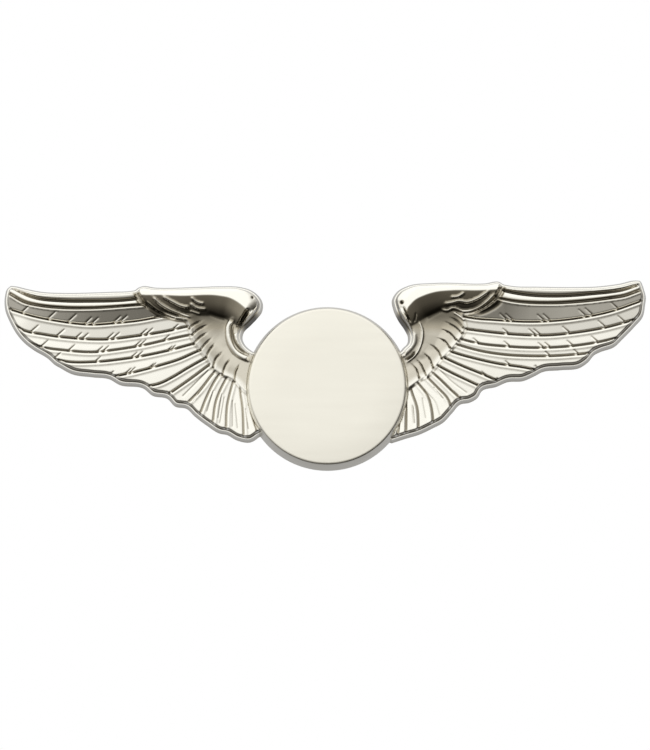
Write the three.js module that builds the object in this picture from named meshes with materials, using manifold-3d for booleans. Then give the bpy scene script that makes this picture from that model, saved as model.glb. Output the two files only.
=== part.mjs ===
// A pilot wings pin: struck wings with a flat centre disc, held on cloth by two posts and two
// butterfly clutches. Millimetres, +Z up. The face looks along -Y and the wearer's cloth lies at +Y.
// The origin is the centre of the flat back plane, on the axis of the disc.
import * as THREE from 'three';
import { mergeVertices } from 'three/addons/utils/BufferGeometryUtils.js';
import Module from 'manifold-3d';

const wasm = await Module();
wasm.setup();

// ---------------------------------------------------------------- driving dimensions
const GAP = 0.3; // clearance between separate pieces that sit on each other
const ROUND = 40; // steps round the disc
const FINE_ROUND = 28; // steps round the clutch shells

// disc
const DISC_FACE_R = 9.3;
const DISC_BASE_R = 9.8;
const DISC_FACE_Y = 3.3; // face above the back plane
const DISC_EDGE = 0.2; // rounded edge of the face
const SEAT_THICK = 0.6; // the wings' own metal under the disc

// wings: heights above the back plane
const RIM_H = 1.3; // edge of the wing
const FEATHER_H = 1.95;
const FEATHER_STEPS = 6; // straight pieces along each groove
const GROOVE_SHARE = 0.07; // of a feather's width, left flat on each side at its foot
const CROWN_SHARE = 0.26; // the same at its top
const TIP_ROUND = 0.15; // how far a tip bulges, as a share of its width
const SINK = 0.3; // how deep the raised shapes reach into the plate under them
const ARM_START = [22.7, 11.3]; // outer end of the arm
const ARM_END_Z = 10.4;
const ARM_Z_SCALE = 0.9;
const ARM_H = 1.35; // height of the arm's centre line
const COVERTS = 9;
const COVERT_H = 1.55; // height of a covert's centre
const COVERT_HALF = [0.75, 0.62]; // half thickness and half width of a covert
const COVERT_OVERRUN = 0.2; // past its two edge lines
const RIGHT_SCALE = 0.98; // the right wing is struck slightly shorter
const RIGHT_LIFT = THREE.MathUtils.degToRad(1); // and slightly raised

// posts
const POST_X = 18; // from the disc's axis
const POST_Z = 6.3;
const PATCH_R = 2.4;
const PATCH_THICK = 0.5;
const POST_R = 0.575;
const POST_END = 8.2; // tip above the back plane
const POST_TIP = 1.5; // length of the point
const FOOT_R = 1.1;
const FOOT_THICK = 0.4;
const PATCH_BEVEL = [0.3, 0.15]; // across and deep
const JOINT = 0.1; // solder line
const GRIPS = 3; // grooves that the jaws catch in
const FIRST_GRIP = 3.2;
const GRIP_PITCH = 1.1;
const GRIP_DEPTH = 0.12;
const GRIP_STEPS = [0, 0.15, 0.35, 0.5]; // a groove's corners, along the post
const TIP_FLAT = [0.15, 0.1]; // radius and length of the blunt tip

// clutch
const CLUTCH_Y = 1.9; // cloth face of the cup when it is worn
const CUP_R = 5.7;
const CUP_THICK = 0.5;
const CUP_RIM = 1.2; // depth of the cup's turned rim
const CUP_WALL = 0.4;
const CUP_CORNER = 0.3;
const FUNNEL = [0.75, 0.25]; // the lead-in round the cup's hole, across and deep
const HOLE_R = 0.85;
const FLANGE_R = 4.8; // foot of the cover, inside the rim
const FLANGE_THICK = 0.4;
const DRUM_R = 4.1;
const DRUM_WALL = 0.5;
const DRUM_TOP = 6.1; // back of the cover
const DRUM_CAP = 0.4;
const DRUM_CORNER = 0.4;
const CAP_LIP = [0.5, 0.2]; // bevel round the hole in the cap, across and deep
const SLOT_CLEAR = 0.15; // round a jaw, in the cover's slot

// jaws
const JAW_TRAVEL = 0.8;
const JAW_THICK = 0.45;
const JAW_HALF_WIDTH = 1.4;
const JAW_LEVELS = { outer: 3.4, inner: 4.15 }; // front face of each sliding plate
const JAW_REACH = 1.35; // past the post, on the side that grips
const GRIP_CLEAR = 0.1; // between the grip notch and the post
const TAB_X = 5.15; // inner face of the finger tab
const TAB_THICK = 0.5;
const TAB_HALF_WIDTH = 2.3;
const TAB_TOP = 7;
const TAB_RIBS = [-1.2, 0, 1.2]; // middles of the ribs on a finger tab
const RIB = { half: 0.2, proud: 0.15, sunk: 0.1, foot: 1, head: 0.4 };
const JAW_CORNER = 0.4;
const LUG_X = 3.2; // face that the spring pushes on
const LUG_THICK = 0.35;
const LUG_TOP = 5.45;
const LUG_HALF_WIDTH = 0.6;

// spring
const WIRE_R = 0.17;
const WIRE_Y = 5.15;
const BOW_HALF = [[0, 2.45], [1.7, 2.1], [2.7, 1.3], [3.0, 0.5], [2.95, -0.3]]; // half of its line

// ---------------------------------------------------------------- materials
function metal(color, roughness) {
  return new THREE.MeshStandardMaterial({ color, roughness, metalness: 1 });
}
const finish = {
  polished: () => metal(0xdcd9cd, 0.14),
  brushed: () => metal(0xe6e2d6, 0.32),
  plated: () => metal(0xcfcdc6, 0.25),
  steel: () => metal(0xb4b6b8, 0.2),
  spring: () => metal(0xb79a5f, 0.35),
};

// ---------------------------------------------------------------- solids
function toSolid(geometry) {
  geometry.deleteAttribute('normal');
  geometry.deleteAttribute('uv');
  const merged = mergeVertices(geometry, 1e-4);
  const mesh = new wasm.Mesh({
    numProp: 3,
    vertProperties: merged.attributes.position.array,
    triVerts: new Uint32Array(merged.index.array),
  });
  return new wasm.Manifold(mesh);
}

function toGeometry(solid) {
  const made = solid.getMesh();
  const geometry = new THREE.BufferGeometry();
  geometry.setAttribute('position', new THREE.BufferAttribute(made.vertProperties, 3));
  geometry.setIndex(new THREE.BufferAttribute(made.triVerts, 1));
  return geometry;
}

function joined(solids) {
  return solids.reduce((whole, next) => whole.add(next));
}

// A flat outline drawn in X and Z, from one height above the back plane to another on the face side.
function plate(shape, from, to, options = {}) {
  const geometry = new THREE.ExtrudeGeometry(shape, {
    depth: to - from,
    bevelEnabled: false,
    curveSegments: 3,
    ...options,
  });
  geometry.translate(0, 0, from);
  return geometry.rotateX(Math.PI / 2);
}

// A turned shape: pairs of radius and distance along Y, closed on the axis or on itself.
function turned(profile, steps) {
  const points = profile.map(([r, y]) => new THREE.Vector2(r, y));
  return new THREE.LatheGeometry(points, steps);
}

// A tube of an oval section along a smooth path.
function tube(path, halfWide, halfHigh, steps, sides = 8) {
  const section = new THREE.Shape();
  for (let i = 0; i < sides; i++) {
    const a = (2 * Math.PI * i) / sides;
    const corner = [halfHigh * Math.cos(a), halfWide * Math.sin(a)];
    if (i === 0) section.moveTo(...corner);
    else section.lineTo(...corner);
  }
  section.closePath();
  return new THREE.ExtrudeGeometry(section, {
    steps,
    extrudePath: new THREE.CatmullRomCurve3(path),
  });
}

function box(low, high) {
  const size = high.map((v, i) => v - low[i]);
  const middle = high.map((v, i) => (v + low[i]) / 2);
  return new THREE.BoxGeometry(...size).translate(...middle);
}

// ---------------------------------------------------------------- the wings
// Points on a wing are [distance out from the disc's axis, height], before the side is applied.
// Each groove runs from its inner end out to the wing's edge, with a feather on either side.
const GROOVES = [
  [[21.9, 9.6], [28.2, 9.2], [34.2, 9.7], [37.9, 11.1]],
  [[17.6, 8.8], [22.6, 8.0], [27.7, 7.6], [33.0, 8.1], [37.9, 9.5]],
  [[16.9, 7.1], [21.5, 6.3], [27.5, 5.8], [33.5, 6.4], [37.0, 7.3]],
  [[16.7, 6.1], [21.5, 5.1], [27.0, 4.3], [32.5, 4.7], [35.8, 5.8]],
  [[16.2, 5.1], [21.0, 3.9], [26.5, 3.1], [32.9, 3.6]],
  [[15.5, 4.3], [18.5, 3.1], [22.0, 2.1], [25.6, 1.4]],
  [[14.8, 3.4], [17.5, 1.8], [19.6, 0.6], [21.4, 0.1]],
  [[14.3, 2.6], [16.7, 0.7], [18.8, -0.9]],
  [[13.6, 1.7], [15.1, -0.3], [16.5, -2.0]],
  [[12.9, 1.2], [14.2, -1.0], [15.0, -3.5]],
  [[12.2, 0.6], [13.2, -1.7], [13.5, -4.6]],
  [[11.3, 0.1], [12.0, -2.3], [12.0, -5.2]],
  [[10.4, -0.5], [10.4, -3.0], [9.9, -5.8]],
];
// The edge of the wing from the tip down to the disc: a point, then the control point of the curve
// that leads to it. Each curve is the rounded end of a feather.
const SCALLOPS = [
  [[36.0, 5.4], [37.9, 7.2]],
  [[33.1, 3.5], [34.9, 4.2]],
  [[25.9, 1.1], [31.3, 1.1]],
  [[21.6, 0.0], [24.8, 0.0]],
  [[18.9, -1.2], [20.9, -1.3]],
  [[16.6, -2.5], [18.2, -2.6]],
  [[15.0, -3.9], [16.0, -3.6]],
  [[13.5, -4.9], [14.4, -4.8]],
  [[11.9, -5.5], [12.9, -5.7]],
  [[9.9, -6.2], [11.0, -6.6]],
  [[7.9, -5.6], [8.9, -6.8]],
];
const TIP = [[38.4, 9.6], [38.5, 11.2], [38.0, 12.3], [36.4, 12.1]];
const TOP_EDGE = [[31.5, 11.5], [22.9, 11.8], [22.1, 12.3], [12.7, 12.3], [10.3, 12.2]];
const SHOULDER = [[8.3, 11.4], [7.7, 10.0], [8.4, 8.4], [9.9, 6.8], [10.0, 5.4], [8.8, 4.5]];

function placed(side, [out, up]) {
  if (side < 0) return new THREE.Vector2(-out, up);
  const turn = new THREE.Vector2(out, up).rotateAround(new THREE.Vector2(), RIGHT_LIFT);
  return turn.multiplyScalar(RIGHT_SCALE);
}

function space(side, flat, height) {
  const p = placed(side, flat);
  return new THREE.Vector3(p.x, -height, p.y);
}

function wingOutline(side) {
  const at = (p) => placed(side, p);
  const shape = new THREE.Shape();
  shape.moveTo(...at(TIP[0]));
  for (const [end, control] of SCALLOPS) shape.quadraticCurveTo(...at(control), ...at(end));
  shape.lineTo(...at([5, 0]));
  shape.lineTo(...at(SHOULDER.at(-1)));
  shape.splineThru([...SHOULDER].reverse().slice(1).map(at));
  for (const p of [...TOP_EDGE].reverse()) shape.lineTo(...at(p));
  for (const p of [...TIP].reverse()) shape.lineTo(...at(p));
  return shape;
}

// The outline of the feather between two grooves, drawn in from each by a share of its width.
function featherRing(side, upper, lower, inset) {
  const along = (groove) => {
    const points = groove.map((p) => placed(side, p));
    return new THREE.SplineCurve(points).getPoints(FEATHER_STEPS);
  };
  const top = along(upper);
  const bottom = along(lower);
  const a = top.at(-1);
  const b = bottom.at(-1);
  const across = new THREE.Vector2().subVectors(b, a);
  const outward = new THREE.Vector2(across.y, -across.x).multiplyScalar(-side * TIP_ROUND);
  const tip = a.clone().lerp(b, 0.5).add(outward.multiplyScalar(1 - 2 * inset));
  const ring = top.map((p, i) => p.clone().lerp(bottom[i], inset));
  ring.push(tip, ...bottom.map((p, i) => p.clone().lerp(top[i], inset)).reverse());
  return ring;
}

// A feather that narrows from its foot to its crown.
function feather(side, upper, lower) {
  const foot = featherRing(side, upper, lower, GROOVE_SHARE);
  const crown = featherRing(side, upper, lower, CROWN_SHARE);
  const geometry = plate(new THREE.Shape(foot), RIM_H - SINK, FEATHER_H);
  const position = geometry.attributes.position;
  for (let i = 0; i < position.count; i++) {
    if (position.getY(i) > -RIM_H) continue;
    const here = new THREE.Vector2(position.getX(i), position.getZ(i));
    const away = foot.map((p) => p.distanceTo(here));
    const nearest = away.indexOf(Math.min(...away));
    position.setX(i, crown[nearest].x);
    position.setZ(i, crown[nearest].y);
  }
  return geometry;
}

function feathers(side) {
  return GROOVES.slice(1).map((lower, i) => feather(side, GROOVES[i], lower));
}

// Ridges that run along the front of the wing, each a path, its half width and its height.
const RIDGES = [
  { path: [[21.8, 11.3], [28, 11.1], [33, 11.1], [37.3, 11.8]], half: 0.55, height: 1.5 },
  { path: [[21.6, 10.3], [28.2, 9.9], [34, 10.2], [37.4, 11.1]], half: 0.22, height: 1.6 },
  { path: [[12.6, 9.4], [15.5, 8.9], [18.5, 9.3], [21.2, 10.6]], half: 0.5, height: 1.5 },
  { path: [[12.0, 10.0], [14.8, 9.8], [18.2, 10.2], [20.4, 10.9]], half: 0.5, height: 1.7 },
  { path: [[11.2, 8.4], [11.9, 7.0], [11.8, 5.5], [10.9, 4.2], [9.4, 3.2]], half: 0.4, height: 1.6 },
  { path: [[8.9, 9.6], [10.4, 7.6], [11.1, 6.2], [10.3, 4.9], [8.6, 4.2]], half: 0.6, height: 1.5 },
];

function arm(side) {
  const profile = [
    [0, 0], [0.75, 0.2], [1.05, 1], [1.3, 7], [1.7, 11], [1.9, 13], [1.4, 14.6], [0, 15.2],
  ];
  const length = profile.at(-1)[1];
  const geometry = turned(profile, 16);
  geometry.scale(1, 1, ARM_Z_SCALE);
  const outer = space(side, ARM_START, ARM_H);
  const inner = space(side, [ARM_START[0] - length, ARM_END_Z], ARM_H);
  const along = new THREE.Vector3().subVectors(inner, outer).normalize();
  geometry.applyQuaternion(
    new THREE.Quaternion().setFromUnitVectors(new THREE.Vector3(0, 1, 0), along),
  );
  return geometry.translate(...outer);
}

// The short overlapping feathers beside the disc, laid along an arc.
function coverts(side) {
  const outerEdge = [
    [16.1, 7.6], [16.1, 6.6], [15.5, 5.2], [14.3, 3.6], [12.9, 2.1], [11.2, 1.0], [10.3, 0.2],
  ];
  const innerEdge = [
    [14.2, 7.9], [13.9, 7.1], [13.3, 6.3], [12.6, 5.2], [11.6, 4.2], [10.7, 3.4], [10.3, 2.6],
  ];
  const flat = (list) => new THREE.SplineCurve(list.map((p) => placed(side, p)));
  const outer = flat(outerEdge);
  const inner = flat(innerEdge);
  const made = [];
  for (let i = 0; i < COVERTS; i++) {
    const t = i / (COVERTS - 1);
    const a = outer.getPoint(t);
    const b = inner.getPoint(t);
    const half = a.distanceTo(b) / 2 + COVERT_OVERRUN;
    const angle = Math.atan2(b.y - a.y, b.x - a.x);
    const covert = new THREE.SphereGeometry(1, 8, 6).scale(half, ...COVERT_HALF);
    covert.rotateY(-angle);
    made.push(covert.translate((a.x + b.x) / 2, -COVERT_H, (a.y + b.y) / 2));
  }
  return made;
}

function recess(side) {
  const at = (p) => placed(side, p);
  const shape = new THREE.Shape();
  const edge = [
    [21.5, 11], [21.5, 9.7], [17.2, 8.6], [16.4, 6.2], [13.5, 2], [9.5, 0], [9, 4], [11, 8], [12, 11],
  ];
  edge.forEach((p, i) => (i ? shape.lineTo(...at(p)) : shape.moveTo(...at(p))));
  return plate(shape, RIM_H - SINK, RIM_H + SINK);
}

function wings() {
  const solids = [];
  for (const side of [-1, 1]) {
    solids.push(plate(wingOutline(side), 0, RIM_H, { curveSegments: 4 }));
    solids.push(...feathers(side), arm(side), recess(side), ...coverts(side));
    for (const { path, half, height } of RIDGES) {
      const route = path.map((p) => space(side, p, height));
      solids.push(tube(route, half, half, 8, 6));
    }
  }
  const seat = turned(
    [[0, -SEAT_THICK], [DISC_BASE_R, -SEAT_THICK], [DISC_BASE_R, 0], [0, 0]],
    ROUND,
  );
  const well = turned(
    [
      [0, -SEAT_THICK],
      [DISC_BASE_R + GAP, -SEAT_THICK],
      [DISC_FACE_R + GAP, -DISC_FACE_Y - 1],
      [0, -DISC_FACE_Y - 1],
    ].reverse(),
    ROUND,
  );
  const behind = box([-60, 0, -60], [60, 20, 60]);
  return joined([...solids, seat].map(toSolid)).subtract(toSolid(well)).subtract(toSolid(behind));
}

function disc() {
  const back = -SEAT_THICK - GAP;
  const profile = [
    [0, back],
    [DISC_BASE_R, back],
    [DISC_FACE_R, -DISC_FACE_Y + DISC_EDGE],
    [DISC_FACE_R - DISC_EDGE, -DISC_FACE_Y],
    [0, -DISC_FACE_Y],
  ];
  return turned(profile.reverse(), ROUND);
}

// ---------------------------------------------------------------- posts
function postPatch() {
  const front = JOINT;
  const back = front + PATCH_THICK;
  const [across, deep] = PATCH_BEVEL;
  const profile = [[0, front], [PATCH_R, front], [PATCH_R, back - deep], [PATCH_R - across, back], [0, back]];
  return turned(profile, 24);
}

function postPin() {
  const foot = JOINT + PATCH_THICK + JOINT;
  const shoulder = foot + FOOT_THICK;
  const straight = POST_END - POST_TIP;
  const profile = [[0, foot], [FOOT_R, foot], [FOOT_R, shoulder], [POST_R, shoulder]];
  const neck = POST_R - GRIP_DEPTH;
  for (let i = 0; i < GRIPS; i++) {
    const [a, b, c, d] = GRIP_STEPS.map((step) => FIRST_GRIP + i * GRIP_PITCH + step);
    profile.push([POST_R, a], [neck, b], [neck, c], [POST_R, d]);
  }
  profile.push([POST_R, straight], [TIP_FLAT[0], POST_END - TIP_FLAT[1]], [0, POST_END]);
  return turned(profile, 14);
}

// ---------------------------------------------------------------- clutch, about the post's axis
function clutchCup() {
  const plateBack = CLUTCH_Y + CUP_THICK;
  const rimBack = CLUTCH_Y + CUP_RIM;
  const profile = [
    [HOLE_R, CLUTCH_Y + FUNNEL[1]],
    [HOLE_R + FUNNEL[0], CLUTCH_Y],
    [CUP_R - CUP_CORNER, CLUTCH_Y],
    [CUP_R, CLUTCH_Y + CUP_CORNER],
    [CUP_R, rimBack],
    [CUP_R - CUP_WALL, rimBack],
    [CUP_R - CUP_WALL, plateBack],
    [HOLE_R, plateBack],
    [HOLE_R, CLUTCH_Y + FUNNEL[1]],
  ];
  return turned(profile, FINE_ROUND);
}

function clutchCover(tabSide) {
  const flangeFront = CLUTCH_Y + CUP_THICK + JOINT;
  const flangeBack = flangeFront + FLANGE_THICK;
  const inside = DRUM_R - DRUM_WALL;
  const profile = [
    [inside, flangeFront],
    [FLANGE_R, flangeFront],
    [FLANGE_R, flangeBack],
    [DRUM_R, flangeBack],
    [DRUM_R, DRUM_TOP - DRUM_CORNER],
    [DRUM_R - DRUM_CORNER, DRUM_TOP],
    [HOLE_R + CAP_LIP[0], DRUM_TOP],
    [HOLE_R, DRUM_TOP - CAP_LIP[1]],
    [HOLE_R, DRUM_TOP - DRUM_CAP],
    [inside, DRUM_TOP - DRUM_CAP],
    [inside, flangeFront],
  ];
  let shell = toSolid(turned(profile, FINE_ROUND));
  for (const [which, side] of [['outer', tabSide], ['inner', -tabSide]]) {
    const front = JAW_LEVELS[which] - SLOT_CLEAR;
    const x = [side * (inside - 1), side * (DRUM_R + 1)].sort((a, b) => a - b);
    const half = JAW_HALF_WIDTH + SLOT_CLEAR;
    const slot = box([x[0], front, -half], [x[1], front + JAW_THICK + 2 * SLOT_CLEAR, half]);
    shell = shell.subtract(toSolid(slot));
  }
  return shell;
}

// One jaw: a plate with a window round the post, a finger tab outside and a lug for the spring.
// Its tab is on the side given, and the far edge of its window holds the post.
function jaw(side, front) {
  const back = front + JAW_THICK;
  const grip = POST_R + GRIP_CLEAR;
  const shape = new THREE.Shape();
  const x = (v) => side * v;
  shape.moveTo(x(TAB_X + TAB_THICK / 2), -JAW_HALF_WIDTH);
  shape.lineTo(x(TAB_X + TAB_THICK / 2), JAW_HALF_WIDTH);
  shape.lineTo(x(-JAW_REACH + JAW_CORNER), JAW_HALF_WIDTH);
  shape.lineTo(x(-JAW_REACH), JAW_HALF_WIDTH - JAW_CORNER);
  shape.lineTo(x(-JAW_REACH), -JAW_HALF_WIDTH + JAW_CORNER);
  shape.lineTo(x(-JAW_REACH + JAW_CORNER), -JAW_HALF_WIDTH);
  shape.closePath();
  const window = new THREE.Path();
  const far = GRIP_CLEAR + POST_R + JAW_TRAVEL;
  window.moveTo(x(far), -grip);
  window.lineTo(x(0), -grip);
  const turn = side > 0 ? [-Math.PI / 2, Math.PI / 2, true] : [-Math.PI / 2, Math.PI / 2, false];
  window.absarc(0, 0, grip, ...turn);
  window.lineTo(x(far), grip);
  window.closePath();
  shape.holes.push(window);
  const slider = plate(shape, -back, -front, { curveSegments: 6 });
  const between = (a, b) => [Math.min(x(a), x(b)), Math.max(x(a), x(b))];
  const [tabLow, tabHigh] = between(TAB_X, TAB_X + TAB_THICK);
  const tab = box([tabLow, front, -TAB_HALF_WIDTH], [tabHigh, TAB_TOP, TAB_HALF_WIDTH]);
  const outerFace = TAB_X + TAB_THICK;
  const ribs = TAB_RIBS.map((z) => {
    const [low, high] = between(outerFace - RIB.sunk, outerFace + RIB.proud);
    return box([low, front + RIB.foot, z - RIB.half], [high, TAB_TOP - RIB.head, z + RIB.half]);
  });
  const [lugLow, lugHigh] = between(LUG_X, LUG_X + LUG_THICK);
  const lug = box([lugLow, front, -LUG_HALF_WIDTH], [lugHigh, LUG_TOP, LUG_HALF_WIDTH]);
  return joined([slider, tab, ...ribs, lug].map(toSolid));
}

function clutchSpring() {
  const mirrored = BOW_HALF.slice(1).map(([x, z]) => [-x, z]);
  const bow = [...mirrored.reverse(), ...BOW_HALF];
  return tube(
    bow.map(([x, z]) => new THREE.Vector3(x, WIRE_Y, z)),
    WIRE_R,
    WIRE_R,
    24,
    6,
  );
}

// ---------------------------------------------------------------- the assembly
const pin = new THREE.Group();

function add(group, name, shape, material) {
  const geometry = shape.isBufferGeometry ? shape : toGeometry(shape);
  const mesh = new THREE.Mesh(geometry, material);
  mesh.name = name;
  group.add(mesh);
}

add(pin, 'wings_body', wings(), finish.polished());
add(pin, 'center_disc', disc(), finish.brushed());

for (const [side, word] of [[-1, 'left'], [1, 'right']]) {
  const back = new THREE.Group();
  back.position.set(side * POST_X, 0, POST_Z);
  pin.add(back);
  add(back, `post_base_${word}`, postPatch(), finish.plated());
  add(back, `post_pin_${word}`, postPin(), finish.steel());
  add(back, `clutch_cup_${word}`, clutchCup(), finish.plated());
  add(back, `clutch_cover_${word}`, clutchCover(side), finish.plated());
  add(back, `clutch_jaw_outer_${word}`, jaw(side, JAW_LEVELS.outer), finish.plated());
  add(back, `clutch_jaw_inner_${word}`, jaw(-side, JAW_LEVELS.inner), finish.plated());
  add(back, `clutch_spring_${word}`, clutchSpring(), finish.spring());
}

export default pin;
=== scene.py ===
import math

import bmesh
import bpy
import numpy as np
from mathutils import Matrix, Vector
from mathutils.geometry import delaunay_2d_cdt


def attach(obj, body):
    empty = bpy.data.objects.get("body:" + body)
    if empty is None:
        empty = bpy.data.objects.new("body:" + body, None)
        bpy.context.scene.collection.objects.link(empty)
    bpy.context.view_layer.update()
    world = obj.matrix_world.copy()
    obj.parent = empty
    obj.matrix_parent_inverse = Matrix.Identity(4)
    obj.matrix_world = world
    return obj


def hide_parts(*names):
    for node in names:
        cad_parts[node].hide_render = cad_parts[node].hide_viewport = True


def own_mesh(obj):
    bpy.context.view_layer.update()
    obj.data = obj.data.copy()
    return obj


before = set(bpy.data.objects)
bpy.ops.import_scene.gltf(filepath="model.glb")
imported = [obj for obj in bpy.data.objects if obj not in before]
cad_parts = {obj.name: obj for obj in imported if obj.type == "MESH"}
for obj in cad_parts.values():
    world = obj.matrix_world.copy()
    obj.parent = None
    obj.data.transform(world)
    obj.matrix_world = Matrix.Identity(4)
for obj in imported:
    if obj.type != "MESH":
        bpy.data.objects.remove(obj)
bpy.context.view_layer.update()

MM = 0.001

# ---------------------------------------------------------------- sizes, in millimetres
GRID = 0.115  # spacing of the relief's points between its lines
LINE_CELL = 0.052  # and the least spacing of the points that follow a line
DRAFT = 0.3  # how far the struck edge leans out at its foot
LIP = DRAFT + 0.1  # how far in the rim's flat lip ends
RIM_H = 1.3  # height of the struck edge
ROLL = (0.26, 0.8)  # width and fullness of the round side between the lip and the relief
EDGE_ROWS = (DRAFT, 0.36, 0.42, 0.49, 0.57, 0.66, 0.76)  # rows of points along the edge
DISC_FACE_R = 9.3
DISC_FACE_H = 3.3
DISC_WALL_LEAN = 0.19  # radius gained for each millimetre down the disc's wall
SEAT_R = 9.72
SEAT_H = 0.6
SEAT_RINGS = (9.0, 7.0, 4.0)  # rings of points on the seat
SEAT_GRID = 0.8  # and their spacing round it
WELL_GAP = 0.03  # between the disc's wall and the well it sits in
WELL_TOP = 1.9  # height at which the well's radius is taken
ARM_H = 3.25  # height of the arm's crest
NECK = (9.1, 7.9)  # where the arm comes down to the disc

# The bands of a wing are counted from its top edge: two beads, then the feathers.
BEADS = ((0.32, 2.2), (0.12, 2))  # how high each bead is, and how flat on top
TOP_FEATHER = 2
SECOND_FALL = 0.145  # fall of the feather below the top one, for each millimetre across
LOWER_FALL = 0.035  # and of those below
FALL_WIDTH = 2.5  # a feather is level further than this from its lower groove
TOP_EDGE = (0.05, 0.4, 0.14)  # raised edge of the top feather: height, place, half width
FEATHER_EDGE = (0.06, 0.3, 0.3)  # and of the others
GROOVE_DEPTH = (0.3, 0.26, 0.24, 0.22, 0.2, 0.22, 0.26, 0.26, 0.25, 0.16, 0.15, 0.15, 0.15, 0.15, 0.15)
LOW_SIDE = 0.19  # width of a groove's side below a feather
HIGH_SIDE = 0.24  # and of the side that rises to the next one
TOP_SIDE = 0.34  # the same, up to the top feather
GROOVE_RUN = (3, 4)  # how far a groove is followed past its two ends
OPEN_SIDE = 9.0  # distance given where a band has no groove on one side

NICK_WAY = (-0.76, 0.64)  # the way of a nick, up and towards the disc
NICK_SCALE = 1.55  # length of a nick for each unit in the drawing
NICK_DEPTH = 0.11
NICK_HALF = 0.17
NICK_GAP = ((-0.36, 0.02), 0.26, 0.13)  # gap in the groove at its foot: place, half length, half width
SHAFT_DEPTH = 0.05
BROAD = 0.2  # half width from which a ridge is flat on top
SCALE_FALL = 0.17  # of a scale beside its line, for each millimetre
SCALE_CUT = (0.16, 0.2)  # depth and half width of the line itself
MANTLE_BEAD = (0.085, 0.28)  # bead along the recess's edge: height and half width
MANTLE_STEP = 0.34  # width of the step down to the recess
RECESS_END = 16.8  # distance out at which the recess gives way to the arm's foot

# Painted shade runs from 0, bare metal, to 1, black. It stands in for the dark studio mirrored in the
# grooves, lower sides and hollows of the struck metal.
TOP_INK = 0.08  # painted shade all over the top feather
NICK_INK = 0.8
SHAFT_INK = 0.22
SHADOW_INK = 0.85  # below a fine ridge
MANTLE_INK = 0.36  # painted shade in the recess beside the disc
EDGE_PAINTED_LIGHT = 0.28  # painted shade taken off along the recess's edge: a painted highlight
ARM_INK = (0.56, 0.36)  # painted shade just below the arm's crest, and more added further down
SCALE_DOT_INK = 0.95  # painted shade at the outer end of a scale
EDGE_INK = 1.0  # painted shade along the low edge, inside the lip
WALL_INK = 0.35  # painted shade on the struck edge
NECK_INK = 0.95
PAINTED_SHADE_COLOURS = ((0.0, (1, 1, 1)), (0.5, (0.5, 0.465, 0.4)), (1.0, (0.035, 0.031, 0.024)))  # colours of the painted shade

# Spots through which the feathers' base surface and the recess, or mantle, pass: (out, up, height).
FEATHER_SPOTS = [
    (38, 10, 1.75), (34, 8, 1.85), (34, 4, 1.75), (29, 8, 1.9), (29, 3, 1.8), (24, 8, 1.95), (24, 2, 1.8),
    (19, 8, 2.0), (19, 3, 1.95), (18, -1, 1.8), (15, 1, 1.95), (14, -4, 1.8), (11, -1, 1.95), (10, -5.5, 1.8),
]
MANTLE_SPOTS = [
    (8.4, 8.8, 2.6), (9.3, 7.6, 2.5), (10.3, 6.4, 2.3), (11, 9, 2.3), (12, 8.2, 2.05), (12.8, 7.6, 1.95),
    (16.2, 7, 2.06), (15, 4.7, 2.0), (13.6, 2.8, 1.98), (12, 1.4, 1.98), (10.6, 0.6, 1.98), (14.3, 7.8, 2.0),
    (13.7, 6.3, 1.8), (12.7, 4.4, 1.75), (11.4, 3.3, 1.75), (10.3, 2.6, 1.8), (16, 8.6, 2.1), (19, 9, 2.0),
    (21.5, 10, 2.0),
]

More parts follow.
